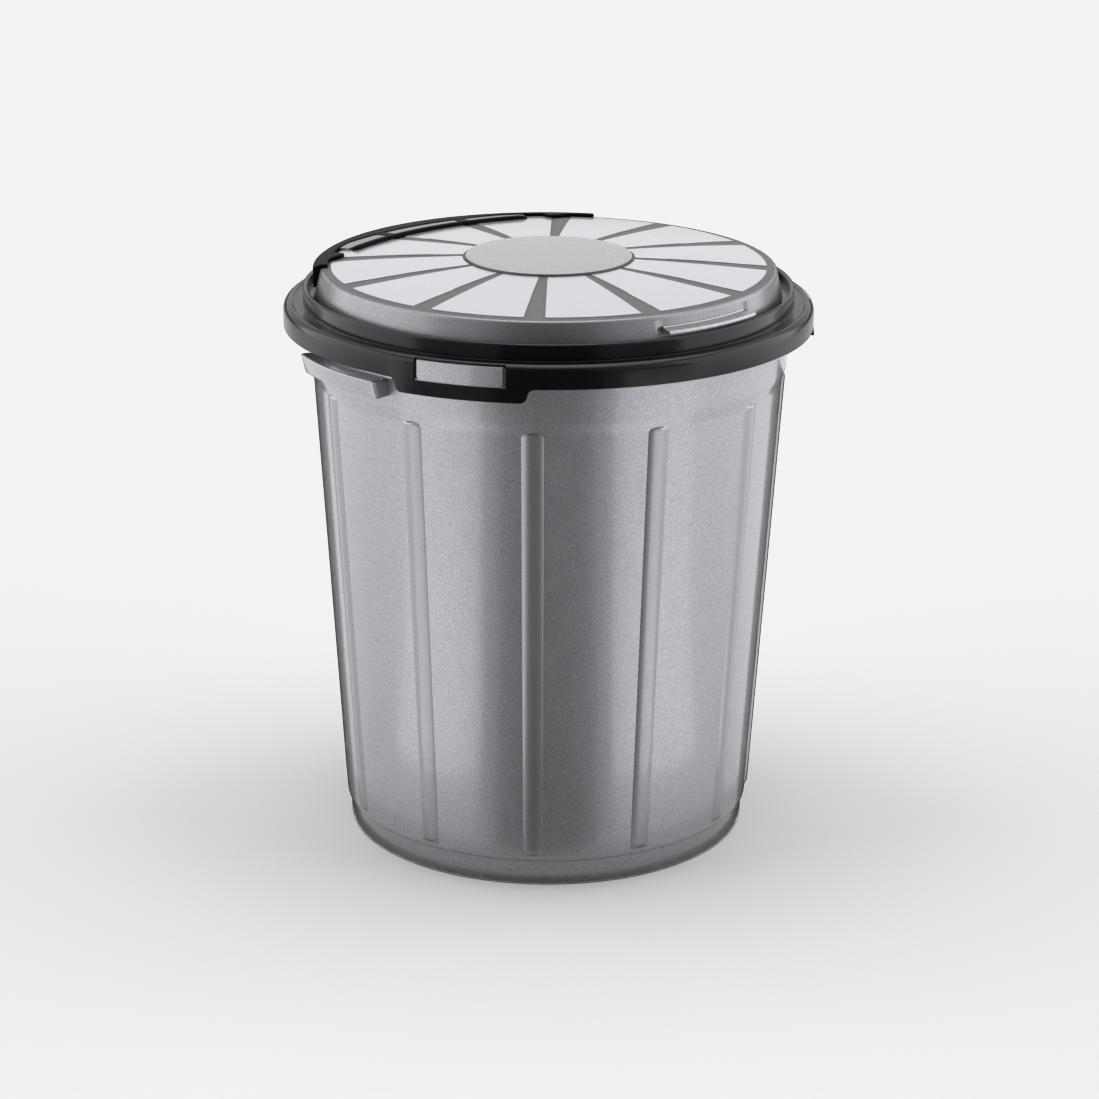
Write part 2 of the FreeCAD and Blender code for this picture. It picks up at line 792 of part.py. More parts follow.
def build_disc():
    """Plain round plate on the middle of the lid, with the dome's own curve under it."""
    body = new_body("lid_centre_disc")
    radius = size("disc_radius")
    edge = size("disc_round")
    rise = size("disc_rise")
    spin(body, "disc_section", "Revolution", [
        Corner(ZERO, apex, -dome_radius),
        Corner(radius, dome_height(radius, ZERO)),
        Corner(radius, dome_height(radius - edge, rise) - edge, edge),
        Corner(radius - edge, dome_height(radius - edge, rise), dome_radius + rise),
        Corner(ZERO, apex + rise),
    ])
    return body


def build_yoke():
    """Crescent yoke on the back of the lid: plate with three slots, outer lip and two hinge arms."""
    body = new_body("hinge_yoke")
    half = size("yoke_angle") * HALF
    radius = yoke_radius
    tip = radius - size("yoke_tip")
    gap = size("yoke_gap")
    rise = size("yoke_rise")
    bend, centre = yoke_bend()
    low = lid_rim - size("yoke_lip")
    top = apex + rise + overrun
    plan = draw(body, "yoke_plan", "XY_Plane", [
        Corner(radius * sine(half), radius * cosine(half), radius),
        Corner(ZERO, radius, radius),
        Corner(-radius * sine(half), radius * cosine(half)),
        Corner(-tip * sine(half), tip * cosine(half), -bend),
        Corner(ZERO, yoke_waist, -bend),
        Corner(tip * sine(half), tip * cosine(half)),
    ], shift=low)
    pad(body, "yoke_block", plan, top - low)
    knuckle = size("knuckle_radius")
    arm_low = collar_top + size("arm_lift")
    arm_depth = arm_low - axis_height
    arm_start = axis_back - root(knuckle * knuckle - arm_depth * arm_depth)
    arm = [
        Corner(tip, arm_low),
        Corner(arm_start, arm_low, knuckle),
        Corner(axis_back - knuckle, axis_height, knuckle),
        Corner(axis_back, axis_height - knuckle, knuckle),
        Corner(axis_back + knuckle, axis_height, knuckle),
        Corner(axis_back, axis_height + knuckle),
        Corner(tip, axis_height + knuckle),
    ]
    for place, side in (("right", 1), ("left", -1)):
        shift = size("knuckle_place") * side - size("knuckle_width") * HALF
        sketch = draw(body, "arm_%s_outline" % place, "YZ_Plane", arm, shift=shift)
        pad(body, "arm_" + place, sketch, size("knuckle_width"))
    cover = size("panel_rise") + gap
    shoulder = lid_radius + gap
    spin(body, "lid_space", "Groove", [
        Corner(ZERO, low - overrun),
        Corner(lid_wall_radius(low - overrun) + gap, low - overrun),
        Corner(shoulder, dome_height(shoulder, cover), dome_radius + cover),
        Corner(ZERO, apex + cover),
    ])
    crown = radius - size("yoke_edge")
    edge_height = dome_height(crown, rise) - size("yoke_edge_drop")
    edge_bend = (size("yoke_edge") * size("yoke_edge") + size("yoke_edge_drop") * size("yoke_edge_drop")) / (
        size("yoke_edge_drop") * 2)
    spin(body, "yoke_top", "Groove", [
        Corner(ZERO, apex + rise, -(dome_radius + rise)),
        Corner(crown, dome_height(crown, rise), -edge_bend),
        Corner(radius, edge_height),
        Corner(radius + overrun, edge_height),
        Corner(radius + overrun, top + overrun),
        Corner(ZERO, top + overrun),
    ])
    for place, outline in slots(ZERO).items():
        sketch = draw(body, "slot_%s_outline" % place, "XY_Plane", outline, shift=lid_rim)
        pocket(body, "slot_" + place, sketch, (top - lid_rim) * 2)
    bore = draw_circle(body, "arm_bore_outline", "YZ_Plane", axis_back, axis_height,
                       size("pin_radius") + size("running_fit"))
    pocket(body, "arm_bore", bore, (size("knuckle_place") + size("knuckle_width")) * 2)
    keep_seams(body)
    round_edges(body, "inner_bead", size("bead_round"), lambda edge: is_inner_top(edge, centre, bend))
    return body


def is_inner_top(edge, centre, bend):
    """True for an upper edge of the yoke's inner side, which bends about the yoke's own centre."""
    middle = edge.valueAt((edge.FirstParameter + edge.LastParameter) * HALF)
    off_bend = abs(math.hypot(middle.x, middle.y - centre.value) - bend.value)
    above = middle.z - dome_height(Size.of(math.hypot(middle.x, middle.y)), ZERO).value
    return off_bend < NEAR and above > size("yoke_rise").value * HALF and not is_straight(edge)


def build_pin(label, side):
    """Plain hinge pin through two ears of the ring and one arm of the yoke."""
    pin = doc.addObject("Part::Cylinder", label)
    pin.Label = label
    length = size("knuckle_width") + (size("side_gap") + size("ear_wall")) * 2
    start = size("knuckle_place") * side - length * HALF
    pin.setExpression("Radius", size("pin_radius").text)
    pin.setExpression("Height", length.text)
    pin.Placement = FreeCAD.Placement(Vector(), FreeCAD.Rotation(Vector(0, 1, 0), BACK))
    pin.setExpression("Placement.Base.x", start.text)
    pin.setExpression("Placement.Base.y", axis_back.text)
    pin.setExpression("Placement.Base.z", axis_height.text)
    return pin


TONGUE_PLACES = ("front_left", "front_right", "rear_left", "rear_right")

pieces = [build_bucket(), build_ring(), build_lid(), build_disc(), build_yoke()]
pieces += [build_tongue("clasp_tongue_" + place, turn) for place, turn in zip(TONGUE_PLACES, clasp_turns)]
for place, side in (("left", -1), ("right", 1)):
    pieces.append(build_grip("carry_grip_" + place, compass(side * sheet.get("grip_angle"))))
    pieces.append(build_pin("hinge_pin_" + place, side))
doc.recompute()

faults = [thing.Name for thing in doc.Objects if {"Invalid", "Error"} & set(thing.State)]
faults += [piece.Label for piece in pieces if piece.Shape.isNull() or not piece.Shape.isValid()]
faults += [piece.Label for piece in pieces if len(piece.Shape.Solids) != 1]
if faults:
    raise RuntimeError("failed: " + ", ".join(faults))

os.makedirs("parts", exist_ok=True)
for piece in pieces:
    piece.Shape.exportStep("parts/%s.step" % piece.Label)
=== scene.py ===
"""Round waste bin with a clip-on ring and a hinged, ribbed lid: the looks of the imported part.

Every surface is worked out in millimetres in the frame of the solids: the origin is the middle of the
footprint, +Z is up, -Y is the lid's lift lip and +Y the hinge. Angles are degrees from +X towards +Y.
"""
import logging
import math
from dataclasses import dataclass
from enum import Enum, IntEnum
from typing import Optional, Sequence, Union

import bmesh
import bpy
import numpy as np
from mathutils import Matrix, Vector


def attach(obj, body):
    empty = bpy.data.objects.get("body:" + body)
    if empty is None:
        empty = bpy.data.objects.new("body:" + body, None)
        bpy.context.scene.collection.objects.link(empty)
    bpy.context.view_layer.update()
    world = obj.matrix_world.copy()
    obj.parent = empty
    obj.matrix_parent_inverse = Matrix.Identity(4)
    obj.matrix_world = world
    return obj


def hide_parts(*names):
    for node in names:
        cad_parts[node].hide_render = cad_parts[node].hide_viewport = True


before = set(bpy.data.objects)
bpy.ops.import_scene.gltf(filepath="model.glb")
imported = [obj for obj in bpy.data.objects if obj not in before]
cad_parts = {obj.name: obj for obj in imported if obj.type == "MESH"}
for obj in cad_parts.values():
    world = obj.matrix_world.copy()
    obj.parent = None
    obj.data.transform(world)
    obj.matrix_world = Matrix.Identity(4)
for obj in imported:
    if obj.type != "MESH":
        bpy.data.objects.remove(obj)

Array = np.ndarray
Setting = Union[float, int, bool, str, Sequence[float]]
Corner = tuple[float, float, float]
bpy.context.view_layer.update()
MM = 0.001
# angle of the lid's lift lip
FRONT = -90.0
# flutes and ribs repeat this often round the axis, one in the middle of each cell
CELLS = 12
CELL = 360.0 / CELLS
# points closer together than this are joined
WELD_MM = 0.002
# distance behind the middle and height of the hinge's axis, and radius of what turns about it
HINGE = np.array([207.0, 463.2])
KNUCKLE = 4.0
log = logging.getLogger("waste_bin")


class Body(Enum):
    """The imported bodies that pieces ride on."""

    BUCKET = "bucket_body"
    RING = "ring_body"
    LID = "lid_body"


class Slot(Enum):
    """The record's material slots."""

    SILVER = "silver_plastic"
    LID = "lid_plastic"
    BLACK = "black_plastic"


# Shapes

@dataclass
class Patch:
    """A grid of points in millimetres, with the finish and the presence of each of its faces."""

    points: Array
    finish: Union[int, Array] = 0
    keep: Union[bool, Array] = True

    def faces(self, start: int) -> tuple[Array, Array]:
        """Lists the grid's quads.

        Args:
            start: number of the grid's first point.

        Returns:
            Four point numbers per kept face, and the finish number of each kept face.
        """
        rows, columns = self.points.shape[:2]
        number = start + np.arange(rows * columns).reshape(rows, columns)
        quads = np.stack([number[:-1, :-1], number[:-1, 1:], number[1:, 1:], number[1:, :-1]], axis=-1)
        keep = np.broadcast_to(self.keep, quads.shape[:2])
        return quads[keep], np.broadcast_to(self.finish, keep.shape)[keep]


def smooth(low: float, high: float, value: Array) -> Array:
    """Ease from 0 at `low` to 1 at `high`: 3t^2 - 2t^3 of the share t of the way, held at both ends."""
    share = np.clip((value - low) / (high - low), 0.0, 1.0)
    return share * share * (3.0 - 2.0 * share)


def way(turn: Union[float, Array]) -> Array:
    """Unit directions in a plane, (cos t, sin t), for angles t in radians."""
    return np.stack([np.cos(turn), np.sin(turn)], axis=-1)


def spaced(*spans: tuple[float, float, int], digits: int = 4) -> Array:
    """Sorted values of several even runs, each given by its start, its end and how many it has."""
    return np.unique(np.concatenate([np.linspace(*span) for span in spans]).round(digits))


def rounded(corners: Sequence[Corner], steps: int = 5, closed: bool = False) -> Array:
    """A line through corners, each replaced by an arc that touches both of its sides.

    The arc of radius r starts r times tan(half the turn) before the corner and ends as far after it.

    Args:
        corners: two coordinates and a radius per corner; a radius of 0 keeps the corner.
        steps: pieces that each arc is divided into.
        closed: whether the line goes back to its first corner.

    Returns:
        The line's points, with its first point repeated at the end where it is closed.
    """
    table = np.asarray(corners, float)
    places, radii = table[:, :2], table[:, 2]
    line = []
    for index, (place, radius) in enumerate(zip(places, radii)):
        before, after = places[index - 1], places[(index + 1) % len(places)]
        if radius <= 0.0 or (not closed and index in (0, len(places) - 1)):
            line.append(place[None])
            continue
        back = (before - place) / np.linalg.norm(before - place)
        ahead = (after - place) / np.linalg.norm(after - place)
        half = math.acos(np.clip(back @ ahead, -1.0, 1.0)) / 2.0
        middle = (back + ahead) / np.linalg.norm(back + ahead)
        centre = place + middle * (radius / math.sin(half))
        start, end = place + back * (radius / math.tan(half)), place + ahead * (radius / math.tan(half))
        share = np.linspace(0.0, 1.0, steps + 1)[:, None]
        spread = math.pi / 2.0 - half
        blend = (np.sin(2.0 * spread * (1.0 - share)) * (start - centre)
                 + np.sin(2.0 * spread * share) * (end - centre)) / math.sin(2.0 * spread)
        line.append(centre + blend)
    points = np.concatenate(line)
    return np.concatenate([points, points[:1]]) if closed else points


def around(radius: Array, height: Array, angles: Array) -> Array:
    """Points at radius and height round the bin's axis: x = r cos a, y = r sin a, z = h.

    Args:
        radius: one radius per row, or per row and column.
        height: one height per row, or per row and column.
        angles: one angle per column.

    Returns:
        A grid of points, rows by columns.
    """
    radius = radius if radius.ndim == 2 else radius[:, None]
    height = height if height.ndim == 2 else height[:, None]
    radius, height, turn = np.broadcast_arrays(radius, height, np.radians(angles)[None, :])
    return np.stack([radius * np.cos(turn), radius * np.sin(turn), height], axis=-1)


def revolve(profile: Array, angles: Array) -> Array:
    """Carries a line of radii and heights round the bin's axis, one column per angle."""
    return around(profile[:, 0], profile[:, 1], angles)


def fan(loop: Array) -> Array:
    """Closes a loop by a strip of two rows, from the loop to the middle of its points."""
    return np.stack([loop, np.broadcast_to(loop.mean(axis=0), loop.shape)])


def capped(grid: Array) -> list[Patch]:
    """A grid whose columns are closed loops, with an end face over its first and its last column."""
    return [Patch(grid), Patch(fan(grid[:, 0])), Patch(fan(grid[:, -1]))]


def prism(outline: Array, start: float, end: float) -> list[Patch]:
    """A closed outline in Y and Z carried straight along X from start to end, with both ends closed."""
    loops = [np.column_stack([np.full(len(outline), place), outline]) for place in (start, end)]
    return [Patch(np.stack(loops)), Patch(fan(loops[0])), Patch(fan(loops[1]))]


def border(grid: Array) -> Array:
    """The loop of points along a grid's four edges, with its first point repeated at the end."""
    return np.concatenate([grid[:, 0], grid[-1, 1:], grid[-2::-1, -1], grid[0, -2::-1]])


def face_mean(grid: Array) -> Array:
    """Mean of a grid's values at the four corners of each face."""
    return (grid[:-1, :-1] + grid[1:, :-1] + grid[:-1, 1:] + grid[1:, 1:]) / 4.0


def away(angles: Array, place: Union[float, Array]) -> Array:
    """Signed angle from a place to each column, between -180 and 180."""
    return (angles - place + 180.0) % 360.0 - 180.0


def full_turn(angles: Array) -> Array:
    """Columns of a full turn: each angle once, in order, and the first repeated a turn later."""
    turn = np.unique(angles.round(4))
    return np.append(turn, turn[0] + 360.0)


def cell_angles(edge: float, fine: Sequence[float], coarse: Sequence[float]) -> Array:
    """Columns for a pattern that repeats round the axis, closer together at the edges of its ribs.

    Args:
        edge: half the angle that a rib takes.
        fine: offsets from the rib's edge, in degrees.
        coarse: offsets from the rib's middle, in degrees.

    Returns:
        The angles of a full turn, the first repeated a turn later.
    """
    local = np.concatenate([np.asarray(fine) + edge, coarse])
    local = np.unique(np.concatenate([local, -local]).round(4))
    middles = CELL / 2.0 + CELL * np.arange(CELLS)
    return full_turn((middles[:, None] + local[None, :]).ravel().round(4) % 360.0)


def rib_offset(angles: Array) -> Array:
    """Angle from each column to the middle of its nearest rib."""
    return (angles % CELL) - CELL / 2.0


# Meshes

class Edges(Enum):
    """How a piece's sharp edges are finished."""

    MODELLED = "radii are in the surface"
    BROKEN = "a bevel breaks them"


@dataclass
class Piece:
    """One visible piece: its patches, finishes, body, slot and the solids that it stands for."""

    name: str
    patches: list[Patch]
    finishes: list[bpy.types.Material]
    body: Body
    slot: Slot
    nodes: tuple[str, ...] = ()
    edges: Edges = Edges.MODELLED
    bevel_mm: float = 0.5
    bevel_steps: int = 2
    sharp_angle: float = 40.0

    def build(self) -> None:
        """Makes the mesh, welds its seams and poles, turns its faces outwards and puts it on its body."""
        vertices, faces, finish, start = [], [], [], 0
        for patch in self.patches:
            quads, numbers = patch.faces(start)
            vertices.append(patch.points.reshape(-1, 3))
            faces.append(quads)
            finish.append(numbers)
            start += len(vertices[-1])
        mesh = bpy.data.meshes.new(self.name)
        mesh.from_pydata((np.concatenate(vertices) * MM).tolist(), [], np.concatenate(faces).tolist())
        mesh.polygons.foreach_set("material_index", np.concatenate(finish).astype(np.int32))
        for material in self.finishes:
            mesh.materials.append(material)
        self.weld(mesh)
        mesh.polygons.foreach_set("use_smooth", np.ones(len(mesh.polygons), bool))
        piece = bpy.data.objects.new(self.name, mesh)
        bpy.context.scene.collection.objects.link(piece)
        if self.edges is Edges.BROKEN:
            bevel = piece.modifiers.new("broken_edges", "BEVEL")
            bevel.width = self.bevel_mm * MM
            bevel.segments = self.bevel_steps
            bevel.limit_method = "ANGLE"
            bevel.angle_limit = math.radians(self.sharp_angle)
            bevel.harden_normals = True
        else:
            mesh.set_sharp_from_angle(angle=math.radians(self.sharp_angle))
        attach(piece, self.body.value)
        if self.nodes:
            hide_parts(*self.nodes)
        log.info("%s: %d faces on %s", self.name, len(mesh.polygons), self.body.value)

    def weld(self, mesh: bpy.types.Mesh) -> None:
        """Joins points that meet and turns the faces outwards.

        Args:
            mesh: the piece's mesh.
        """
        work = bmesh.new()
        work.from_mesh(mesh)
        bmesh.ops.remove_doubles(work, verts=work.verts, dist=WELD_MM * MM)
        bmesh.ops.dissolve_degenerate(work, edges=work.edges, dist=WELD_MM * MM / 2.0)
        bmesh.ops.recalc_face_normals(work, faces=work.faces)
        work.to_mesh(mesh)
        work.free()


# Finishes

def linear(code: str) -> tuple[float, float, float, float]:
    """Turns an sRGB hex value to linear colour: c/12.92 below 0.04045, else ((c + 0.055)/1.055)^2.4.

    Args:
        code: six hex digits after a #.

    Returns:
        Red, green, blue and an alpha of 1.
    """
    channels = np.array([int(code[place:place + 2], 16) for place in (1, 3, 5)]) / 255.0
    bent = np.where(channels <= 0.04045, channels / 12.92, ((channels + 0.055) / 1.055) ** 2.4)
    return (float(bent[0]), float(bent[1]), float(bent[2]), 1.0)


def feed(tree: bpy.types.NodeTree, target: bpy.types.Node, inputs: dict) -> None:
    """Sets inputs of a node, or links them.

    Args:
        tree: the tree that holds the node.
        target: the node.
        inputs: value, or output socket to link from, of each named or numbered input.
    """
    for key, value in inputs.items():
        if isinstance(value, bpy.types.NodeSocket):
            tree.links.new(value, target.inputs[key])
        else:
            target.inputs[key].default_value = value


def node(tree: bpy.types.NodeTree, kind: str, inputs: Optional[dict] = None,
         **settings: Setting) -> bpy.types.Node:
    """Adds a node with its settings, socket values and links.

    Args:
        tree: the tree that gets the node.
        kind: Blender's type name of the node.
        inputs: value, or output socket to link from, of each named or numbered input.
        settings: attributes of the node.

    Returns:
        The new node.
    """
    new = tree.nodes.new(kind)
    for key, value in settings.items():
        setattr(new, key, value)
    feed(tree, new, inputs or {})
    return new


@dataclass(frozen=True)
class Noise:
    """A noise pattern: the width of its features in millimetres, its finer layers and their weight."""

    size_mm: float
    layers: float
    weight: float = 0.5


# real flakes are about 0.1 mm; they are drawn coarser so that their sparkle shows in the render
FLAKES = Noise(1.1, 3.0, 0.75)
# slow changes of gloss over a moulded wall
CLOUDS = Noise(14.0, 2.0)
# the faint haze of handling
HAZE = Noise(3.0, 4.0)
# waves that a polished mould leaves, and the finer ones of a textured mould
WAVES = Noise(9.0, 1.0)
TEXTURE = Noise(1.5, 1.0)


@dataclass(frozen=True)
class MouldedPlastic:
    """Polypropylene from a mould: one deep colour with clear, slightly wavy reflections.

    Haze moves the colour along its shades and varies the gloss a little, and shallow waves bend the
    reflections.
    """

    name: str
    shades: tuple[str, ...]
    roughness: float
    metallic: float = 0.0
    skin: float = 0.0
    skin_roughness: float = 0.1
    shine: float = 0.5
    ior: float = 1.49
    relief: Noise = WAVES
    relief_mm: float = 0.01
    relief_strength: float = 0.2
    tint: Noise = HAZE
    stops: tuple[float, ...] = (0.35, 0.8)
    gloss: Noise = HAZE
    gloss_range: tuple[float, float] = (0.35, 0.75)
    gloss_change: tuple[float, float] = (0.0, 0.05)

    def make(self) -> bpy.types.Material:
        """Builds the material: one noise moves the colour, one varies the gloss, one tilts the surface.

        Returns:
            The material, which reads the object's own coordinates.
        """
        material = bpy.data.materials.new(self.name)
        material.use_nodes = True
        tree = material.node_tree
        place = node(tree, "ShaderNodeTexCoord").outputs["Object"]
        level = {}
        for noise in dict.fromkeys((self.tint, self.gloss, self.relief)):
            level[noise] = node(tree, "ShaderNodeTexNoise", {
                "Vector": place, "Scale": 1.0 / (noise.size_mm * MM), "Detail": noise.layers,
                "Roughness": noise.weight}).outputs["Fac"]
        ramp = node(tree, "ShaderNodeValToRGB", {"Fac": level[self.tint]})
        elements, colours = ramp.color_ramp.elements, [linear(code) for code in self.shades]
        for end in (0, -1):
            elements[end].position = self.stops[end]
            elements[end].color = colours[end]
        for stop, colour in zip(self.stops[1:-1], colours[1:-1]):
            elements.new(stop).color = colour
        gloss = node(tree, "ShaderNodeMapRange", {
            "Value": level[self.gloss], "From Min": self.gloss_range[0], "From Max": self.gloss_range[1],
            "To Min": self.roughness + self.gloss_change[0],
            "To Max": self.roughness + self.gloss_change[1]})
        bump = node(tree, "ShaderNodeBump", {"Height": level[self.relief], "Strength": self.relief_strength,
                                             "Distance": self.relief_mm * MM})
        feed(tree, tree.nodes["Principled BSDF"], {
            "Base Color": ramp.outputs["Color"], "Roughness": gloss.outputs["Result"],
            "Normal": bump.outputs["Normal"], "Metallic": self.metallic, "IOR": self.ior,
            "Specular IOR Level": self.shine, "Coat Weight": self.skin,
            "Coat Roughness": self.skin_roughness, "Coat IOR": self.ior})
        return material


@dataclass(frozen=True)
class FlakePlastic(MouldedPlastic):
    """Polypropylene moulded with aluminium flake: a satin grey with a fine sparkle under a glossy skin.

    The flakes give a grainy, half metallic shade that follows the lamps; the skin gives the sharper edge
    lines. Slow clouds vary the gloss.
    """

    metallic: float = 0.72
    skin: float = 1.0
    relief: Noise = FLAKES
    relief_mm: float = 0.02
    relief_strength: float = 0.35
    tint: Noise = FLAKES
    stops: tuple[float, ...] = (0.3, 0.5, 0.72)
    gloss: Noise = CLOUDS
    gloss_range: tuple[float, float] = (0.3, 0.7)
    gloss_change: tuple[float, float] = (-0.03, 0.03)


# the tub: a grainy satin grey with soft, broad reflections
WALL_FINISH = FlakePlastic(
    "metallic_flake_moulded_polypropylene", ("#737477", "#8C8D90", "#A8A9AC"), 0.42, skin_roughness=0.12)
# the flutes: smoother than the wall, and a little darker as painted shade, so they read as bands
FLUTE_PAINTED_SHADE = FlakePlastic(
    "metallic_flake_smooth_polypropylene_painted_shade", ("#78797C", "#828386", "#8E8F91"), 0.36, relief_mm=0.006)
# the lid's wall: a deeper satin grey
LID_FINISH = FlakePlastic(
    "metallic_flake_satin_polypropylene", ("#5C5D60", "#6B6C6F", "#7D7E81"), 0.4, metallic=0.7, skin=0.6,
    skin_roughness=0.2)
# the lid's ribs: dull and dark between the panels; the dark colour is painted shade, also laid on the
# border, the top of the rim's round and the disc's side
RIB_PAINTED_SHADE = FlakePlastic(
    "metallic_flake_matt_polypropylene_painted_shade", ("#4B4C4E", "#57585A", "#646567"), 0.6, metallic=0.4,
    skin=0.0)
# the lid's panels: bright, and they mirror what is above them; their light colour is a painted reflection of
# the light above
PANEL_PAINTED_REFLECTION = FlakePlastic(
    "metallic_flake_polished_polypropylene", ("#C0C1C4", "#CBCCCF", "#D5D6D9"), 0.24, metallic=0.75,
    skin=0.5, skin_roughness=0.08, relief_mm=0.006)
# the ring: a deep black with clear edge lights
BLACK_FINISH = MouldedPlastic(
    "polished_moulded_black_polypropylene", ("#060607", "#0C0C0D"), 0.17, shine=0.22)
# the crescent: a black that hardly mirrors
YOKE_FINISH = MouldedPlastic(
    "textured_moulded_black_polypropylene", ("#040405", "#080808"), 0.34, shine=0.02, relief=TEXTURE)


# Pieces

class TubFinish(IntEnum):
    """Numbers of the tub's finishes."""

    WALL = 0
    FLUTE = 1


@dataclass
class Bucket:
    """Tapered tub: foot ring, flutes, wider neck, turned-over rim and the four lugs of the clasps."""

    foot_radius: float = 167.0
    foot_wall: float = 3.4
    foot_height: float = 22.0
    foot_draft: float = 0.6
    foot_step: float = 0.6
    foot_rounds: tuple[float, ...] = (1.0, 0.8, 1.4, 0.4)
    base_radius: float = 170.4
    base_round: float = 4.5
    base_inset: float = 0.5
    base_edge: float = 2.2
    neck_radius: float = 197.0
    neck_step: float = 1.6
    step_low: float = 388.0
    step_top: float = 400.0
    step_round: float = 4.0
    wall: float = 2.0
    floor_wall: float = 3.0
    floor_round: float = 8.0
    rim_height: float = 448.4
    rim_radius: float = 213.0
    rim_wall: float = 2.4
    rim_lip: float = 16.0
    rim_round: float = 3.0
    rim_edge: float = 0.6
    rim_corners: tuple[float, float] = (2.0, 1.2)
    flute_angle: float = 5.3
    flute_rise: float = 2.0
    flute_foot: float = 4.0
    flute_clear: float = 1.0
    flute_top: float = 391.0
    flute_end: float = 2.5
    flute_corner: float = 4.0
    flute_fine: tuple[float, ...] = (-0.35, -0.15, -0.05, 0.0, 0.05, 0.2, 0.6)
    flute_coarse: tuple[float, ...] = (0.0, 0.5, 1.0, 1.5, 2.0, 4.5, 6.5, 9.0, 12.0, 15.0)
    lug_angle: float = 18.6
    lug_reach: float = 216.4
    lug_lip: float = 2.0
    lug_low: float = 433.2
    lug_top: float = 449.0
    lug_corner: float = 3.6
    lug_columns: int = 15
    lug_places: tuple[float, ...] = (-30.0, -150.0, 60.0, 120.0)

    def wall_radius(self, height: Union[float, Array]) -> Union[float, Array]:
        """Outer radius of the tapered wall: a straight line from the foot to the rim."""
        share = (height - self.foot_height) / (self.rim_height - self.foot_height)
        return self.base_radius + (self.neck_radius - self.base_radius) * share

    def flute(self, angles: Array, height: Array) -> Array:
        """Rise of the flutes over the wall: rise (1 - u^2), u the distance from the middle in half widths.

        Towards the top the half width shrinks along a quarter circle, which rounds the flute's corners.

        Args:
            angles: one angle per column.
            height: one height per row.

        Returns:
            The rise, rows by columns.
        """
        wall, corner = self.wall_radius(height), self.flute_corner
        rest = np.clip(corner - (self.flute_top - height), 0.0, corner)
        half = math.radians(self.flute_angle / 2.0) * wall - corner + np.sqrt(corner ** 2 - rest ** 2)
        across = np.radians(rib_offset(angles))[None, :] * (wall / half)[:, None]
        bar = np.maximum(0.0, 1.0 - across * across)
        low = self.foot_height + self.base_round
        ends = np.clip((self.flute_top - height) / self.flute_end, 0.0, 1.0)
        ends = np.sqrt(1.0 - (1.0 - ends) ** 2) * smooth(low, low + self.flute_foot, height)
        return self.flute_rise * bar * ends[:, None]

    def base(self) -> Array:
        """Section from the middle of the underside over the foot ring to the start of the wall.

        Returns:
            Radius and height of its points.
        """
        foot, low = self.foot_height, self.foot_height + self.base_round
        inner, start = self.foot_radius - self.foot_wall, self.wall_radius(low)
        rounds = self.foot_rounds
        return rounded([
            (0.0, foot, 0.0), (inner, foot, rounds[0]), (inner, 0.0, rounds[1]),
            (self.foot_radius, 0.0, rounds[2]),
            (self.foot_radius + self.foot_draft, foot - self.foot_step, rounds[3]),
            (start - self.base_inset, foot, self.base_edge), (start, low, 0.0)], steps=4)

    def rim(self, neck: float) -> Array:
        """Section from the top of the wall over the turned-over rim and down the inside to the floor.

        Args:
            neck: radius of the wall's top.

        Returns:
            Radius and height of its points.
        """
        lip, floor = self.rim_height - self.rim_lip, self.foot_height + self.floor_wall
        under = self.rim_radius - self.rim_wall
        return rounded([
            (neck, self.rim_height - self.rim_wall, 0.0),
            (under, self.rim_height - self.rim_wall, self.rim_corners[0]), (under, lip, self.rim_edge),
            (self.rim_radius, lip, self.rim_edge), (self.rim_radius, self.rim_height, self.rim_round),
            (self.neck_radius + self.neck_step - self.wall, self.rim_height, self.rim_corners[1]),
            (self.wall_radius(self.step_top) - self.wall + self.neck_step, self.step_top, self.step_round),
            (self.wall_radius(self.step_low) - self.wall, self.step_low, self.step_round),
            (self.wall_radius(floor) - self.wall, floor, self.floor_round), (0.0, floor, 0.0)])

    def tub(self) -> list[Patch]:
        """The tub's skin: foot, rounded base, fluted wall with its neck, rim, inside and floor.

        Returns:
            The patches of a closed shape, with a finish of its own on the flutes.
        """
        angles = cell_angles(self.flute_angle / 2.0, self.flute_fine, self.flute_coarse)
        low = self.foot_height + self.base_round
        flute_low, flute_high = low + self.flute_foot + self.flute_clear, self.flute_top - self.flute_corner
        heights = spaced((low, flute_low, 6), (flute_low, flute_high, 14), (flute_high, self.flute_top, 13),
                         (self.step_low, self.step_top, 12),
                         (self.step_top, self.rim_height - self.rim_wall, 6), digits=3)
        radii = self.wall_radius(heights) + self.neck_step * smooth(self.step_low, self.step_top, heights)
        rise = self.flute(angles, heights)
        # the flutes' faces take their darker colour, a painted shade
        finish = np.where(face_mean(rise) > 0.0, TubFinish.FLUTE, TubFinish.WALL)
        wall = Patch(around(radii[:, None] + rise, heights, angles), finish)
        rim = Patch(revolve(self.rim(float(radii[-1])), angles))
        return [Patch(revolve(self.base(), angles)), wall, rim]

    def lug(self, place: float) -> list[Patch]:
        """One lug: a block on the rim whose lower corners are rounded by arcs in its outer face.

        Args:
            place: angle of its middle.

        Returns:
            The patches of a closed shape.
        """
        half = self.lug_angle / 2.0
        turn = half - half * (1.0 - np.linspace(0.0, 1.0, self.lug_columns)) ** 2
        local = np.unique(np.concatenate([turn, -turn]).round(5))
        gap = np.radians(half - np.abs(local)) * self.lug_reach
        inset = np.maximum(0.0, self.lug_corner - gap)
        low = self.lug_low + self.lug_corner - np.sqrt(np.maximum(self.lug_corner ** 2 - inset ** 2, 0.0))
        inner, lip = self.rim_radius - self.rim_wall / 2.0, self.lug_reach - self.lug_lip
        top, shoulder = np.full_like(low, self.lug_top), np.full_like(low, self.rim_height - self.rim_round)
        radii = np.array([inner, self.lug_reach, self.lug_reach, lip, lip, inner, inner])
        return capped(around(radii, np.stack([low, low, top, top, shoulder, shoulder, low]), local + place))

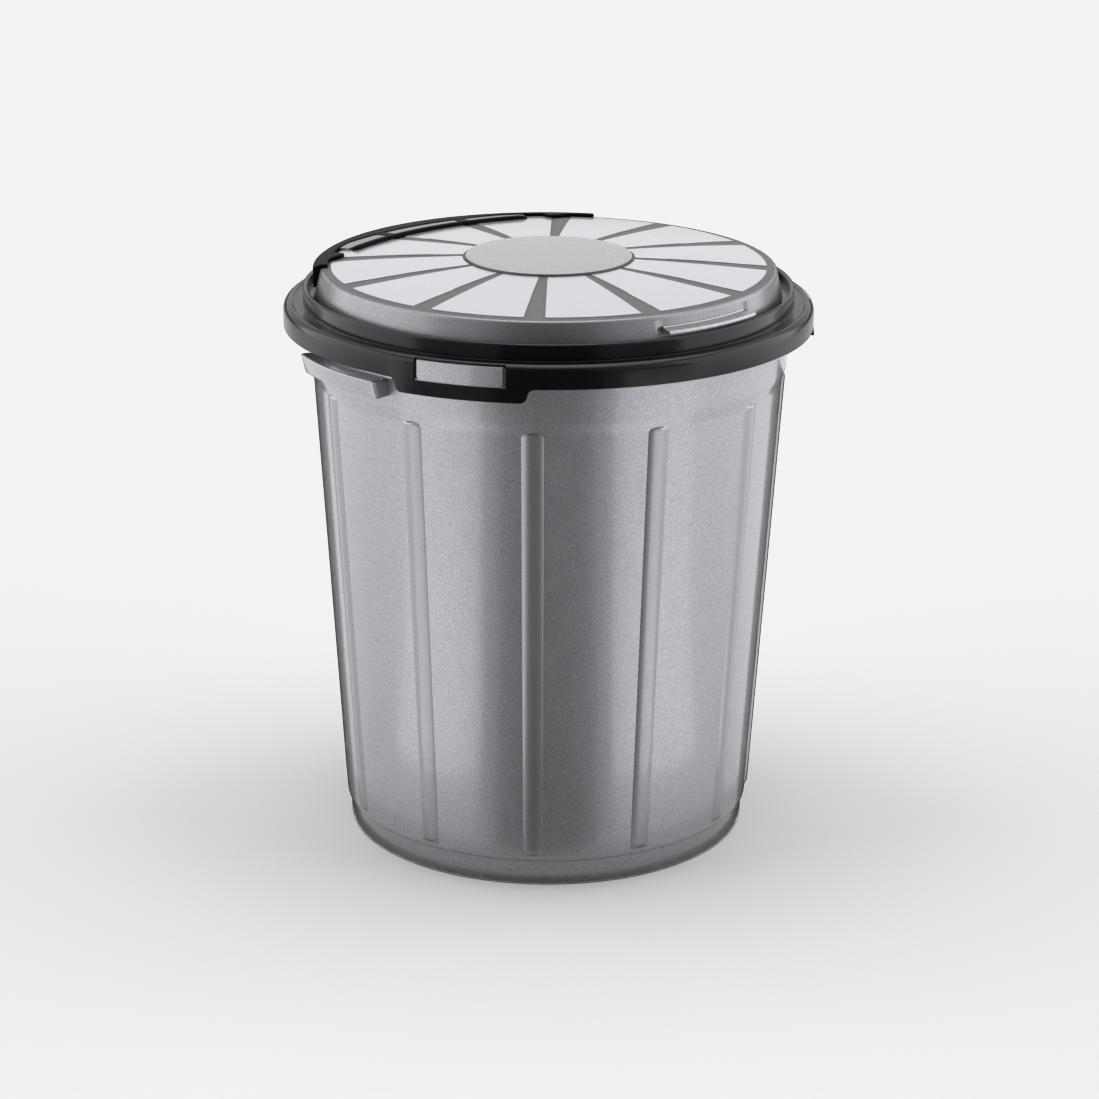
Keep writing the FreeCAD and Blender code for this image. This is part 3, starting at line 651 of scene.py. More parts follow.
    def build(self, finish: bpy.types.Material, flute_painted_shade: bpy.types.Material) -> None:
        """Builds the tub and its four lugs.

        Args:
            finish: the wall's material.
            flute_painted_shade: the flutes' material.
        """
        Piece("bucket_tub", self.tub(), [finish, flute_painted_shade], Body.BUCKET, Slot.SILVER,
              ("bucket",)).build()
        for number, place in enumerate(self.lug_places, start=1):
            Piece("clasp_lug_%d" % number, self.lug(place), [finish], Body.BUCKET, Slot.SILVER,
                  edges=Edges.BROKEN, bevel_mm=0.8, bevel_steps=3).build()


@dataclass
class CarryGrip:
    """Finger band on two webs under the ring, with the flange that carries it on the bucket's wall."""

    node_name: str
    middle: float
    angle: float = 28.4
    radius: float = 214.6
    lean: float = 4.0
    wall: float = 2.6
    corner: float = 3.0
    low: float = 409.2
    top: float = 424.2
    seat: float = 196.4
    edge: float = 0.7
    flange_angle: float = 34.0
    flange_low: float = 425.6
    flange_top: float = 428.0
    flange_reach: float = 204.2
    flange_edge: float = 0.6
    flange_columns: int = 25
    web_angle: float = 0.96
    web_inset: float = 0.3
    web_low: float = 421.8
    web_top: float = 426.8
    web_points: int = 4
    corner_points: int = 9
    arc_points: int = 25

    def path(self) -> tuple[Array, Array]:
        """Plan of the band's outer face: along a web, round a corner and along the arc to the other web.

        Returns:
            Points in X and Y and the unit direction outwards at each.
        """
        half, hub = math.radians(self.angle / 2.0), self.radius - self.corner
        tilt = math.asin(self.corner / hub)
        web = np.linspace(self.seat, hub * math.cos(tilt), self.web_points + 1)[:-1, None] * way(-half)
        web_out = np.broadcast_to(way(-half - math.pi / 2.0), web.shape)
        bend_out = way(tilt - half + np.linspace(-math.pi / 2.0 - tilt, 0.0, self.corner_points))
        arc_out = way(np.linspace(tilt - half, half - tilt, self.arc_points)[1:-1])
        start = np.concatenate([web, hub * way(tilt - half) + self.corner * bend_out])
        start_out = np.concatenate([web_out, bend_out])
        flip = np.array([1.0, -1.0])
        return (np.concatenate([start, self.radius * arc_out, start[::-1] * flip]),
                np.concatenate([start_out, arc_out, start_out[::-1] * flip]))

    def band(self) -> list[Patch]:
        """The band: a rounded upright strip carried along its plan, each point moved inwards by its depth.

        Its lower edge leans in: each point moves towards the axis by the lean, times its share of the way
        down and its share of the way out from the wall.

        Returns:
            The patches of a closed shape.
        """
        points, outs = self.path()
        depth = rounded([(0.0, self.low, self.edge), (self.wall, self.low, self.edge),
                         (self.wall, self.top, self.edge), (0.0, self.top, self.edge)], steps=3, closed=True)
        height = depth[:, 1, None, None]
        plan = points[None] - outs[None] * depth[:, 0, None, None]
        reach = np.linalg.norm(plan, axis=-1, keepdims=True)
        down = (self.top - height) / (self.top - self.low)
        plan = plan * (1.0 - self.lean * down * (reach - self.seat) / (self.radius - self.seat) / reach)
        return capped(np.concatenate([plan, np.broadcast_to(height, reach.shape)], axis=-1))

    def flange(self) -> list[Patch]:
        """The flange on the wall and the two short webs that join the band to it.

        Returns:
            The patches of three closed shapes.
        """
        half, inset = self.flange_angle / 2.0, self.flange_reach - self.web_inset
        section = rounded([
            (self.seat, self.flange_low, 0.0), (self.flange_reach, self.flange_low, self.flange_edge),
            (self.flange_reach, self.flange_top, self.flange_edge), (self.seat, self.flange_top, 0.0)],
            steps=3, closed=True)
        patches = capped(revolve(section, np.linspace(-half, half, self.flange_columns)))
        web = np.array([(self.seat, self.web_low), (inset, self.web_low), (inset, self.web_top),
                        (self.seat, self.web_top), (self.seat, self.web_low)])
        for side in (-1.0, 1.0):
            end = side * self.angle / 2.0
            patches += capped(revolve(web, np.linspace(end - side * self.web_angle, end, 3)))
        return patches

    def build(self, finish: bpy.types.Material) -> None:
        """Builds the grip and turns it to its place.

        Args:
            finish: the wall's material.
        """
        spin = np.eye(3)
        turn = math.radians(self.middle)
        spin[:2, :2] = (math.cos(turn), math.sin(turn)), (-math.sin(turn), math.cos(turn))
        patches = [Patch(patch.points @ spin) for patch in self.band() + self.flange()]
        Piece(self.node_name + "_band", patches, [finish], Body.BUCKET, Slot.SILVER,
              (self.node_name,)).build()


@dataclass
class ClipRing:
    """Clip-on ring: skirt with four clasp windows and tongues, ledge, collar, lid shelf and hinge ears."""

    radius: float = 217.2
    skirt_inner: float = 214.8
    skirt_low: float = 432.6
    ledge_under: float = 448.8
    skirt_top: float = 451.4
    ledge_floor: float = 450.4
    ledge_round: float = 6.0
    ledge_flat: float = 0.6
    ledge_slope: float = 2.0
    collar: float = 201.4
    collar_inner: float = 196.8
    collar_top: float = 464.0
    collar_round: float = 2.25
    shelf_top: float = 456.2
    shelf_under: float = 454.0
    shelf_round: float = 0.8
    bag_outer: float = 187.2
    bag_inner: float = 185.0
    bag_low: float = 442.2
    edge: float = 0.6
    foot_edge: float = 0.5
    window_radius: float = 214.0
    window_half: float = 9.9
    bar_half: float = 48.0
    shoulder: float = 11.5
    shoulder_start: float = 12.4
    shoulder_end: float = 16.0
    drop: float = 10.7
    flare: float = 1.3
    pitch: float = 1.5
    least_pitch: float = 0.04
    places: tuple[float, ...] = (-150.0, -30.0, 60.0, 120.0)
    corners: tuple[str, ...] = ("front_left", "front_right", "rear_left", "rear_right")
    ear_places: tuple[float, ...] = (-51.3, -29.7, 24.7, 46.3)
    ear_wall: float = 5.0
    ear_seat: float = 0.6
    ear_points: int = 17

    def tongue_drop(self, offset: Array) -> Array:
        """How far the skirt reaches down at a clasp: the full drop, then two arcs that sweep up to nothing.

        With b = (s^2 + d^2) / 4d for shoulder s and drop d, each arc has radius b and they meet half way.

        Args:
            offset: distance from the clasp's middle along the skirt.

        Returns:
            The drop at each offset.
        """
        bend = (self.shoulder ** 2 + self.drop ** 2) / (4.0 * self.drop)
        along = np.clip(np.abs(offset) - self.bar_half, 0.0, self.shoulder)
        lower = bend - np.sqrt(np.maximum(bend ** 2 - along ** 2, 0.0))
        upper = bend - np.sqrt(np.maximum(bend ** 2 - (self.shoulder - along) ** 2, 0.0))
        return np.where(along < self.shoulder / 2.0, self.drop - lower, upper)

    def columns(self) -> Array:
        """Angles of the ring's columns, closer together at the clasps' shoulders and windows.

        Returns:
            The angles of a full turn, the first repeated a turn later.
        """
        clasp = spaced((0.0, self.window_half, 8), (self.window_half, self.shoulder_start, 5),
                       (self.shoulder_start, self.shoulder_end, 19))
        clasp = np.concatenate([clasp, -clasp])
        turn = [np.arange(0.0, 360.0, self.pitch)] + [(place + clasp) % 360.0 for place in self.places]
        turn = np.unique(np.concatenate(turn).round(4))
        return full_turn(turn[np.append(np.diff(turn) > self.least_pitch, True)])

    def offsets(self, angles: Array) -> Array:
        """Signed angle from each column to the middle of its nearest clasp."""
        gaps = away(angles[None, :], np.array(self.places)[:, None])
        return gaps[np.abs(gaps).argmin(axis=0), np.arange(len(angles))]

    def shoulder_line(self, start: float, end: float, steps: int) -> Array:
        """Part of the quarter circle over the skirt: its centre plus q (cos t, sin t), for its radius q.

        Args:
            start: angle t at which it starts.
            end: angle t at which it ends.
            steps: pieces that it is divided into.

        Returns:
            Radius and height of its points.
        """
        centre = np.array([self.radius - self.ledge_round, self.skirt_top - self.ledge_round])
        return centre + self.ledge_round * way(np.radians(np.linspace(start, end, steps + 1)))

    def window_turn(self) -> float:
        """Angle on the shoulder's quarter circle at which it reaches the windows' depth."""
        reach = self.window_radius - self.radius + self.ledge_round
        return math.degrees(math.acos(reach / self.ledge_round))

    def outer_line(self) -> Array:
        """The skirt's outside, from the level of its lower edge over its shoulder to the windows' depth."""
        shoulder = self.shoulder_line(0.0, self.window_turn(), 8)
        return np.concatenate([[(self.radius, self.skirt_low)], shoulder])

    def section(self) -> Array:
        """The section from the windows' depth over the ledge and the collar to the ledge's underside.

        Returns:
            Radius and height of its points.
        """
        crest = self.radius - self.ledge_round
        line = rounded([
            (crest, self.skirt_top, 0.0), (crest - self.ledge_flat, self.skirt_top, self.foot_edge),
            (crest - self.ledge_slope, self.ledge_floor, self.edge),
            (self.collar, self.ledge_floor, self.foot_edge),
            (self.collar, self.collar_top, self.collar_round),
            (self.collar_inner, self.collar_top, self.collar_round),
            (self.collar_inner, self.shelf_top, self.edge),
            (self.bag_inner, self.shelf_top, self.shelf_round),
            (self.bag_inner, self.bag_low, self.edge), (self.bag_outer, self.bag_low, self.edge),
            (self.bag_outer, self.shelf_under, self.edge), (self.collar_inner, self.shelf_under, 0.0),
            (self.collar_inner, self.ledge_under, 0.0), (self.window_radius, self.ledge_under, 0.0)],
            steps=4)
        return np.concatenate([self.shoulder_line(self.window_turn(), 90.0, 4)[:-1], line])

    def tongues(self, angles: Array) -> Array:
        """The skirt's lower edge: down by the drop at each clasp, and out by the flare's share of it.

        Args:
            angles: one angle per column.

        Returns:
            A grid from the outside of the skirt round its lower edge to the inside.
        """
        drop = self.tongue_drop(np.sin(np.radians(self.offsets(angles))) * self.radius)
        lower = self.skirt_low - drop
        level, flare = np.full_like(lower, self.skirt_low), self.flare * (self.skirt_low - lower) / self.drop
        outside, inside = np.full_like(lower, self.radius), np.full_like(lower, self.skirt_inner)
        return around(np.stack([outside, outside + flare, inside + flare, inside]),
                      np.stack([level, lower, lower, level]), angles)

    def band(self) -> list[Patch]:
        """The ring's skin: the section carried round, cut away above each tongue and closed there.

        Returns:
            The patches of a closed shape.
        """
        angles = self.columns()
        window = np.abs(self.offsets((angles[:-1] + angles[1:]) / 2.0)) < self.window_half
        outer = self.outer_line()
        top, corner = (self.window_radius, self.ledge_under), (self.skirt_inner, self.ledge_under)
        foot = (self.skirt_inner, self.skirt_low)
        patches = [Patch(revolve(self.section(), angles)), Patch(revolve(outer, angles), keep=~window),
                   Patch(revolve(np.array([top, corner, foot]), angles), keep=~window),
                   Patch(self.tongues(angles)),
                   Patch(revolve(np.array([outer[-1], top]), angles), keep=window),
                   Patch(revolve(np.array([outer[0], foot]), angles), keep=window)]
        inner = np.array([foot] + [corner] * (len(outer) - 2) + [top])
        for edge in (place + side * self.window_half for place in self.places for side in (-1.0, 1.0)):
            column = angles[np.abs(away(angles, edge)).argmin()][None]
            patches.append(Patch(np.stack([revolve(outer, column)[:, 0], revolve(inner, column)[:, 0]])))
        return patches

    def ears(self) -> list[Patch]:
        """Four upright ears at the hinge: a post with a round top, carried along X by the ear's width.

        Returns:
            The patches of four closed shapes.
        """
        top = HINGE + KNUCKLE * way(np.radians(np.linspace(0.0, 180.0, self.ear_points)))
        low = self.skirt_top - self.ear_seat
        near, far = (HINGE[0] - KNUCKLE, low), (HINGE[0] + KNUCKLE, low)
        outline = np.concatenate([[far], top, [near], [far]])
        return [patch for place in self.ear_places for patch in prism(outline, place, place + self.ear_wall)]

    def build(self, finish: bpy.types.Material) -> None:
        """Builds the ring in one piece with its tongues, and the ears.

        Args:
            finish: the black material.
        """
        nodes = ("rim_ring",) + tuple("clasp_tongue_" + corner for corner in self.corners)
        Piece("clip_ring", self.band(), [finish], Body.RING, Slot.BLACK, nodes,
              edges=Edges.BROKEN, bevel_mm=0.8, bevel_steps=3).build()
        Piece("hinge_ears", self.ears(), [finish], Body.RING, Slot.BLACK, edges=Edges.BROKEN).build()


class ShellFinish(IntEnum):
    """Numbers of the lid shell's finishes: the panels' lightened as a painted reflection, the ribs' darkened
    as painted shade.
    """

    WALL = 0
    PANEL = 1
    RIB = 2


class DiscFinish(IntEnum):
    """Numbers of the centre disc's finishes."""

    TOP = 0
    SIDE = 1


@dataclass
class Lid:
    """Domed lid: raised panels between ribs, flared wall, finger recess, lift lip and centre disc."""

    low: float = 456.6
    rim: float = 478.4
    radius: float = 186.4
    flare: float = 5.0
    rim_round: float = 3.0
    rim_inset: float = 0.1
    rim_drop: float = 0.12
    rim_ease: float = 0.5
    rim_shade_rows: int = 2
    wall: float = 2.4
    wall_edge: tuple[float, float] = (0.5, 0.6)
    skin: float = 2.2
    apex: float = 485.8
    dome_rise: float = 7.4
    rib_angle: float = 5.3
    rib_fine: tuple[float, ...] = (-0.4, -0.2, -0.1, -0.05, 0.0, 0.05, 0.1, 0.2, 0.4)
    rib_coarse: tuple[float, ...] = (0.0, 1.2, 4.5, 6.5, 9.0, 12.0, 15.0)
    panel_rise: float = 0.8
    panel_slope: float = 0.5
    panel_least: float = 0.9
    hub: float = 70.2
    border: float = 178.6
    hub_clear: float = 2.0
    panel_clear: float = 3.0
    border_clear: float = 1.0
    recess_half: float = 14.7
    recess_depth: float = 2.2
    recess_end: float = 0.9
    recess_low: float = 466.6
    recess_top: float = 475.0
    recess_floor: float = 0.3
    recess_roof: float = 0.25
    recess_above: float = 0.15
    recess_fine: tuple[float, ...] = (-0.9, -0.6, -0.3, 0.0, 0.3, 0.6, 0.9, 1.2)
    under_levels: tuple[float, ...] = (461.0, 464.1, 464.6, 470.0, 473.4)
    under_room: tuple[float, float] = (0.6, 1.2)
    under_inset: float = 1.0
    lip_half: float = 13.5
    lip_edge: float = 199.0
    lip_low: float = 465.0
    lip_top: float = 468.2
    lip_slope: float = 1.4
    lip_seat: float = 185.6
    lip_ridge: float = 187.6
    lip_nose: float = 1.2
    lip_bead: tuple[float, float] = (2.6, 0.1)
    lip_groove: tuple[float, float] = (3.2, 0.3)
    lip_step: tuple[float, float] = (0.5, 0.9)
    lip_rounds: tuple[float, float] = (0.5, 0.4)
    lip_columns: int = 25
    disc_radius: float = 68.4
    disc_rise: float = 2.6
    disc_round: float = 0.9
    disc_columns: int = 145

    def dome(self, radius: Array, lift: float = 0.0) -> Array:
        """Height of the dome: a ball through the apex and the rim's edge, grown by the lift.

        Its radius is (e^2 + d^2) / 2d, for the edge's distance e from the axis and the dome's rise d.

        Args:
            radius: distances from the axis.
            lift: how far the ball grows.

        Returns:
            The height at each distance.
        """
        edge = self.radius - self.rim_round
        ball = (edge * edge + self.dome_rise ** 2) / (2.0 * self.dome_rise)
        return self.apex - ball + np.sqrt((ball + lift) ** 2 - radius * radius)

    def wall_radius(self, height: Union[float, Array]) -> Union[float, Array]:
        """Outer radius of the flared wall at a height."""
        return self.radius + self.flare * (self.rim - height) / (self.rim - self.low)

    def columns(self) -> Array:
        """Angles of the shell's columns, closer together at the ribs' edges and the recess's ends.

        Returns:
            The angles of a full turn, the first repeated a turn later.
        """
        ends = self.recess_half + np.array(self.recess_fine)
        ribs = cell_angles(self.rib_angle / 2.0, self.rib_fine, self.rib_coarse)
        return full_turn(np.concatenate([ribs[:-1], FRONT % 360.0 - ends, FRONT % 360.0 + ends]))

    def top(self, angles: Array) -> Patch:
        """The dome with its panels: the dome's height plus the panel's rise times an ease across each edge.

        Args:
            angles: one angle per column.

        Returns:
            The patch, with the polished finish on the panels, light as a painted reflection, and the matt
            one on the ribs, dark as painted shade.
        """
        hub, border_at, slope = self.hub, self.border, self.panel_slope
        radii = spaced((0.0, hub - self.hub_clear, 8), (hub - slope, hub + slope, 6),
                       (hub + self.panel_clear, border_at - self.panel_clear, 22),
                       (border_at - slope, border_at + slope, 6),
                       (border_at + self.border_clear, self.radius - self.rim_round, 4))
        gap = np.radians(np.abs(rib_offset(angles)) - self.rib_angle / 2.0)[None, :] * radii[:, None]
        half = slope / 2.0
        begun = smooth(hub - half, hub + half, radii)
        ends = begun * (1.0 - smooth(border_at - half, border_at + half, radii))
        panel = smooth(-half, half, gap) * ends[:, None]
        finish = np.where(face_mean(panel) > self.panel_least, ShellFinish.PANEL, ShellFinish.RIB)
        return Patch(around(radii, self.dome(radii)[:, None] + self.panel_rise * panel, angles), finish)

    def side(self, angles: Array) -> Patch:
        """The rim's round, the flared wall with the finger recess, and the wall's lower edge.

        Args:
            angles: one angle per column.

        Returns:
            The patch from the dome's edge down to the inside of the lower edge.
        """
        start = self.rim - self.rim_round
        round_off = rounded([
            (self.radius - self.rim_round, self.rim, 0.0),
            (self.radius - self.rim_inset, self.rim - self.rim_drop, self.rim_round - self.rim_ease),
            (self.wall_radius(start), start, 0.0)], steps=7)
        roof, floor = self.recess_top - self.recess_roof, self.recess_low - self.recess_floor
        heights = spaced((roof, self.recess_top + self.recess_above, 4), (self.recess_low, roof, 5),
                         (self.low + self.wall_edge[1], floor, 6))[::-1]
        foot = self.radius + self.flare
        line = np.concatenate([round_off[:-1], np.column_stack([self.wall_radius(heights), heights]),
                               [(foot - self.wall_edge[0], self.low), (foot - self.wall, self.low)]])
        across = 1.0 - smooth(self.recess_half - self.recess_end, self.recess_half + self.recess_end,
                              np.abs(away(angles, FRONT)))
        level = line[:, 1]
        down = smooth(floor, self.recess_low, level) * (1.0 - smooth(roof, self.recess_top, level))
        radii = line[:, 0, None] - self.recess_depth * down[:, None] * across[None, :]
        # the top rows of the rim's round take the ribs' dark colour: a painted shade
        finish = np.where(np.arange(len(level) - 1) < self.rim_shade_rows, ShellFinish.RIB, ShellFinish.WALL)
        return Patch(around(radii, level, angles), finish[:, None])

    def under(self, angles: Array) -> Patch:
        """The lid's inside: the wall's inner face and the dome's underside, set in where the recess is.

        Args:
            angles: one angle per column.

        Returns:
            The patch from the lower edge to the middle.
        """
        edge = self.radius - self.wall - self.rim_round
        heights = np.array((self.low,) + self.under_levels)
        near, far = (self.recess_half + room for room in self.under_room)
        across = 1.0 - smooth(near, far, np.abs(away(angles, FRONT)))
        down = smooth(self.under_levels[1], self.under_levels[2], heights)
        inner = self.wall_radius(heights) - self.wall
        side = around(inner[:, None] - self.recess_depth * down[:, None] * across[None, :], heights, angles)
        radii = np.minimum(np.linspace(edge, 0.0, 12)[:, None], (edge - self.under_inset * across)[None, :])
        return Patch(np.concatenate([side, around(radii, self.dome(radii, -self.skin), angles)]))

    def lip(self) -> list[Patch]:
        """The lift lip: a tongue that slopes down from a low ridge at the lid's wall to a round nose.

        Returns:
            The patches of a closed shape.
        """
        edge, top, inner = self.lip_edge, self.lip_top, self.lip_top + self.lip_slope
        soft, tight = self.lip_rounds
        section = rounded([
            (self.lip_seat, self.lip_low, 0.0), (edge, self.lip_low, self.lip_nose),
            (edge, top, self.lip_nose), (edge - self.lip_bead[0], top + self.lip_bead[1], soft),
            (edge - self.lip_groove[0], top - self.lip_groove[1], tight),
            (self.lip_ridge + self.lip_step[0], inner - self.lip_step[1], tight),
            (self.lip_ridge, inner, soft), (self.lip_seat, inner, 0.0)], steps=4, closed=True)
        turn = FRONT + np.linspace(-self.lip_half, self.lip_half, self.lip_columns)
        return capped(revolve(section, turn))

    def disc(self) -> list[Patch]:
        """The plain centre disc: a plate with the dome's own curve, a rounded edge and a matt side, dark as
        a painted shadow.

        Returns:
            The patch of a closed shape.
        """
        radii = np.linspace(0.0, self.disc_radius, 9)
        crown = np.linspace(self.disc_radius - self.disc_round, 0.0, 12)
        under = np.column_stack([radii, self.dome(radii)])
        top = np.column_stack([crown, self.dome(crown, self.disc_rise)])
        centre = top[0] - (0.0, self.disc_round)
        edge = centre + self.disc_round * way(np.radians(np.linspace(0.0, 90.0, 7))[:-1])
        line = np.concatenate([under, edge, top])
        row = np.arange(len(line) - 1)
        # the upright side and the lower half of its round take the ribs' dark colour: a painted shadow
        side = (row >= len(under) - 1) & (row < len(under) + len(edge) // 2)
        return [Patch(revolve(line, np.linspace(0.0, 360.0, self.disc_columns)),
                      np.where(side, DiscFinish.SIDE, DiscFinish.TOP)[:, None])]

    def build(self, matt: bpy.types.Material, polished: bpy.types.Material, satin: bpy.types.Material,
              wall: bpy.types.Material) -> None:
        """Builds the shell, the lip and the disc.

        Args:
            matt: finish of the ribs and the border, dark as painted shade; the top of the rim's round and
                the disc's side take it too.
            polished: finish of the panels, light as a painted reflection.
            satin: finish of the lip and the disc.
            wall: finish of the flared wall.
        """
        angles = self.columns()
        shell = [self.top(angles), self.side(angles), self.under(angles)]
        Piece("lid_dome", shell, [wall, polished, matt], Body.LID, Slot.LID, ("lid_shell",)).build()
        Piece("lid_lift_lip", self.lip(), [satin], Body.LID, Slot.LID, edges=Edges.BROKEN,
              bevel_mm=0.6).build()
        Piece("lid_disc", self.disc(), [satin, matt], Body.LID, Slot.LID, ("lid_centre_disc",)).build()


@dataclass
class HingeYoke:
    """Black crescent over the back of the lid: outer band, inner roll, bridges and two hinge arms."""

    lid: Lid
    angle: float = 107.0
    radius: float = 192.6
    waist: float = 149.0
    tip: float = 9.0
    rise: float = 3.4
    cover: float = 0.9
    seat_gap: float = 0.2
    edge: float = 9.0
    edge_drop: float = 3.0
    low: float = 461.8
    low_edge: float = 0.7
    bead: float = 1.2
    roll: float = 8.0
    roll_rise: float = 3.0
    roll_columns: int = 81
    slot_far: float = 21.4
    band: float = 13.0
    band_columns: int = 49
    slot_middle: float = 74.0
    slot_side: float = 54.0
    bridge: float = 8.0
    bridge_drop: float = 0.25
    bridge_roots: tuple[float, float] = (3.0, 2.0)
    hook: float = 11.0
    hook_turn: float = 22.6
    hook_start: float = 22.1
    hook_end: float = 27.0
    hook_reach: float = 0.6
    least_pitch: float = 0.05
    strip_rise: float = 2.6
    strip_seat: float = 1.0
    strip_gap: float = 0.3
    strip_columns: int = 25
    knuckle_width: float = 16.0
    knuckle_place: float = 38.0
    arm_low: float = 465.2
    arm_root: float = 2.0
    arm_points: int = 25

    def bend(self) -> tuple[float, float]:
        """The circle of the inner edge, from its waist and its tips.

        Returns:
            Its radius, and the place of its centre on the Y axis.
        """
        half = math.radians(self.angle / 2.0)
        across = (self.radius - self.tip) * math.sin(half)
        sag = self.waist - (self.radius - self.tip) * math.cos(half)
        radius = (across ** 2 + sag ** 2) / (2.0 * sag)
        return radius, self.waist - radius

    def width(self, turn: Array, radius: float) -> Array:
        """Distance from the inner edge out to a circle round the axis, by the law of cosines."""
        bend, centre = self.bend()
        return -centre * np.cos(turn) + np.sqrt(radius ** 2 - (centre * np.sin(turn)) ** 2) - bend

    def band_line(self, turn: Array) -> Array:
        """Distance from the inner edge to the band: past the slots, and drawn in to a hook near each tip.

        Args:
            turn: angles about the inner edge's centre.

        Returns:
            The distance at each angle.
        """
        out = np.degrees(np.abs(turn))
        drawn = smooth(self.hook_start, self.hook_turn, out)
        hook = drawn * (1.0 - smooth(self.hook_turn, self.hook_end, out))
        return np.minimum(self.slot_far, self.width(turn, self.radius) - self.band) - self.hook * hook

    def surface(self, turn: Array, rows: Array) -> tuple[Array, Array]:
        """Top and underside of the crescent: the dome with a rise or a cover, curled down at the outside.

        Args:
            turn: angles along it about the inner edge's centre.
            rows: distances from the inner edge, rows by columns.

        Returns:
            The points of the top and of the underside.
        """
        bend, centre = self.bend()
        x, y = (bend + rows) * np.sin(turn), centre + (bend + rows) * np.cos(turn)
        radius = np.hypot(x, y)
        drop = np.clip(radius - (self.radius - self.edge), 0.0, self.edge)
        curl = (self.edge ** 2 + self.edge_drop ** 2) / (2.0 * self.edge_drop)
        height = self.lid.dome(radius, self.rise) - (curl - np.sqrt(curl ** 2 - drop ** 2))
        base = bend + np.minimum(rows, self.width(turn, self.lid.radius + self.seat_gap))
        under_x, under_y = base * np.sin(turn), centre + base * np.cos(turn)
        under_z = self.lid.dome(np.hypot(under_x, under_y), self.cover)
        return np.stack([x, y, height], axis=-1), np.stack([under_x, under_y, under_z], axis=-1)

    def outer_band(self) -> list[Patch]:
        """The band along the outer circle with a rounded inner edge, and the lip that hangs from it.

        Returns:
            The patches of a closed shape.
        """
        bend, _ = self.bend()
        half = math.asin((self.radius - self.tip) * math.sin(math.radians(self.angle / 2.0)) / bend)
        hook = np.radians(self.hook_turn + np.linspace(-self.hook_reach, self.hook_reach, 13))
        turn = np.unique(np.concatenate([np.linspace(0.0, half, self.band_columns), hook]).round(6))
        turn = turn[np.append(np.diff(turn) > math.radians(self.least_pitch), True)]
        turn = np.concatenate([-turn[:0:-1], turn])
        near, width = self.band_line(turn), self.width(turn, self.radius)
        bead = self.bead * (1.0 - np.cos(np.linspace(0.0, np.pi / 2.0, 6)))
        flat = near + self.bead + (width - near - self.bead) * np.linspace(0.0, 1.0, 15)[1:, None]
        rows = np.concatenate([near + bead[:, None], flat])
        top, under = self.surface(turn, rows)
        inset = np.clip(self.bead - (rows - near), 0.0, self.bead)
        top[..., 2] -= self.bead - np.sqrt(self.bead ** 2 - inset ** 2)
        direction = top[-1, :, :2] / np.hypot(top[-1, :, 0], top[-1, :, 1])[:, None]
        foot = ((self.radius, self.low + self.low_edge), (self.radius - self.low_edge, self.low),
                (self.lid.wall_radius(self.low) + self.seat_gap, self.low))
        ring = [np.column_stack([direction * size, np.full(len(turn), level)]) for size, level in foot]
        lip = np.stack([top[-1]] + ring + [under[-1]])
        patches = [Patch(top), Patch(under), Patch(np.stack([top[0], under[0]])), Patch(lip)]
        for column in (0, -1):
            patches.append(Patch(np.stack([top[:, column], under[:, column]])))
            patches.append(Patch(fan(np.concatenate([lip[:, column], lip[:1, column]]))))
        return patches

    def inner_roll(self) -> list[Patch]:
        """The roll along the inner edge: height times the root of 1 - |u|^3 across, with round ends.

        Returns:
            The patches of its top and its underside.
        """
        bend, _ = self.bend()
        reach = self.slot_middle / 2.0 + self.bridge + self.slot_side
        along = np.sin(np.linspace(-np.pi / 2.0, np.pi / 2.0, self.roll_columns)) * reach
        left = np.clip((reach - np.abs(along)) / self.roll, 0.0, 1.0)
        taper = np.sqrt(left * (2.0 - left))
        across = np.sin(np.linspace(-np.pi / 2.0, np.pi / 2.0, 15))[:, None]
        rows = self.roll / 2.0 * (1.0 + across * taper[None, :])
        top, under = self.surface(along / (bend + self.roll), rows)
        top[..., 2] = under[..., 2] + self.roll_rise * np.sqrt(1.0 - np.abs(across) ** 3) * taper[None, :]
        return [Patch(top), Patch(under)]

    def bridges(self) -> list[Patch]:
        """The two bridges between the slots, from inside the roll to inside the band.

        Returns:
            The patches of two closed shapes.
        """
        bend, _ = self.bend()
        first, last = self.roll - self.bridge_roots[0], self.slot_far + self.bridge_roots[1]
        rows = np.linspace(first, last, 7)[:, None]
        patches = []
        for side in (-1.0, 1.0):
            along = side * (self.slot_middle / 2.0 + self.bridge * np.linspace(0.0, 1.0, 5))
            top, under = self.surface(along / (bend + self.roll), rows)
            top[..., 2] -= self.bridge_drop
            patches += [Patch(top), Patch(under), Patch(np.stack([border(top), border(under)]))]
        return patches

    def arms(self) -> list[Patch]:
        """Two arms from the crescent's back over the collar to round knuckles on the hinge axis.

        Returns:
            The patches of two closed shapes.
        """
        start = math.pi - math.asin((self.arm_low - HINGE[1]) / KNUCKLE)
        knuckle = HINGE + KNUCKLE * way(np.linspace(start, 2.5 * math.pi, self.arm_points))
        root = self.radius - self.arm_root
        outline = np.concatenate([[(root, self.arm_low)], knuckle, [(root, HINGE[1] + KNUCKLE)],
                                  [(root, self.arm_low)]])
        half = self.knuckle_width / 2.0
        return [patch for place in (-self.knuckle_place, self.knuckle_place)
                for patch in prism(outline, place - half, place + half)]

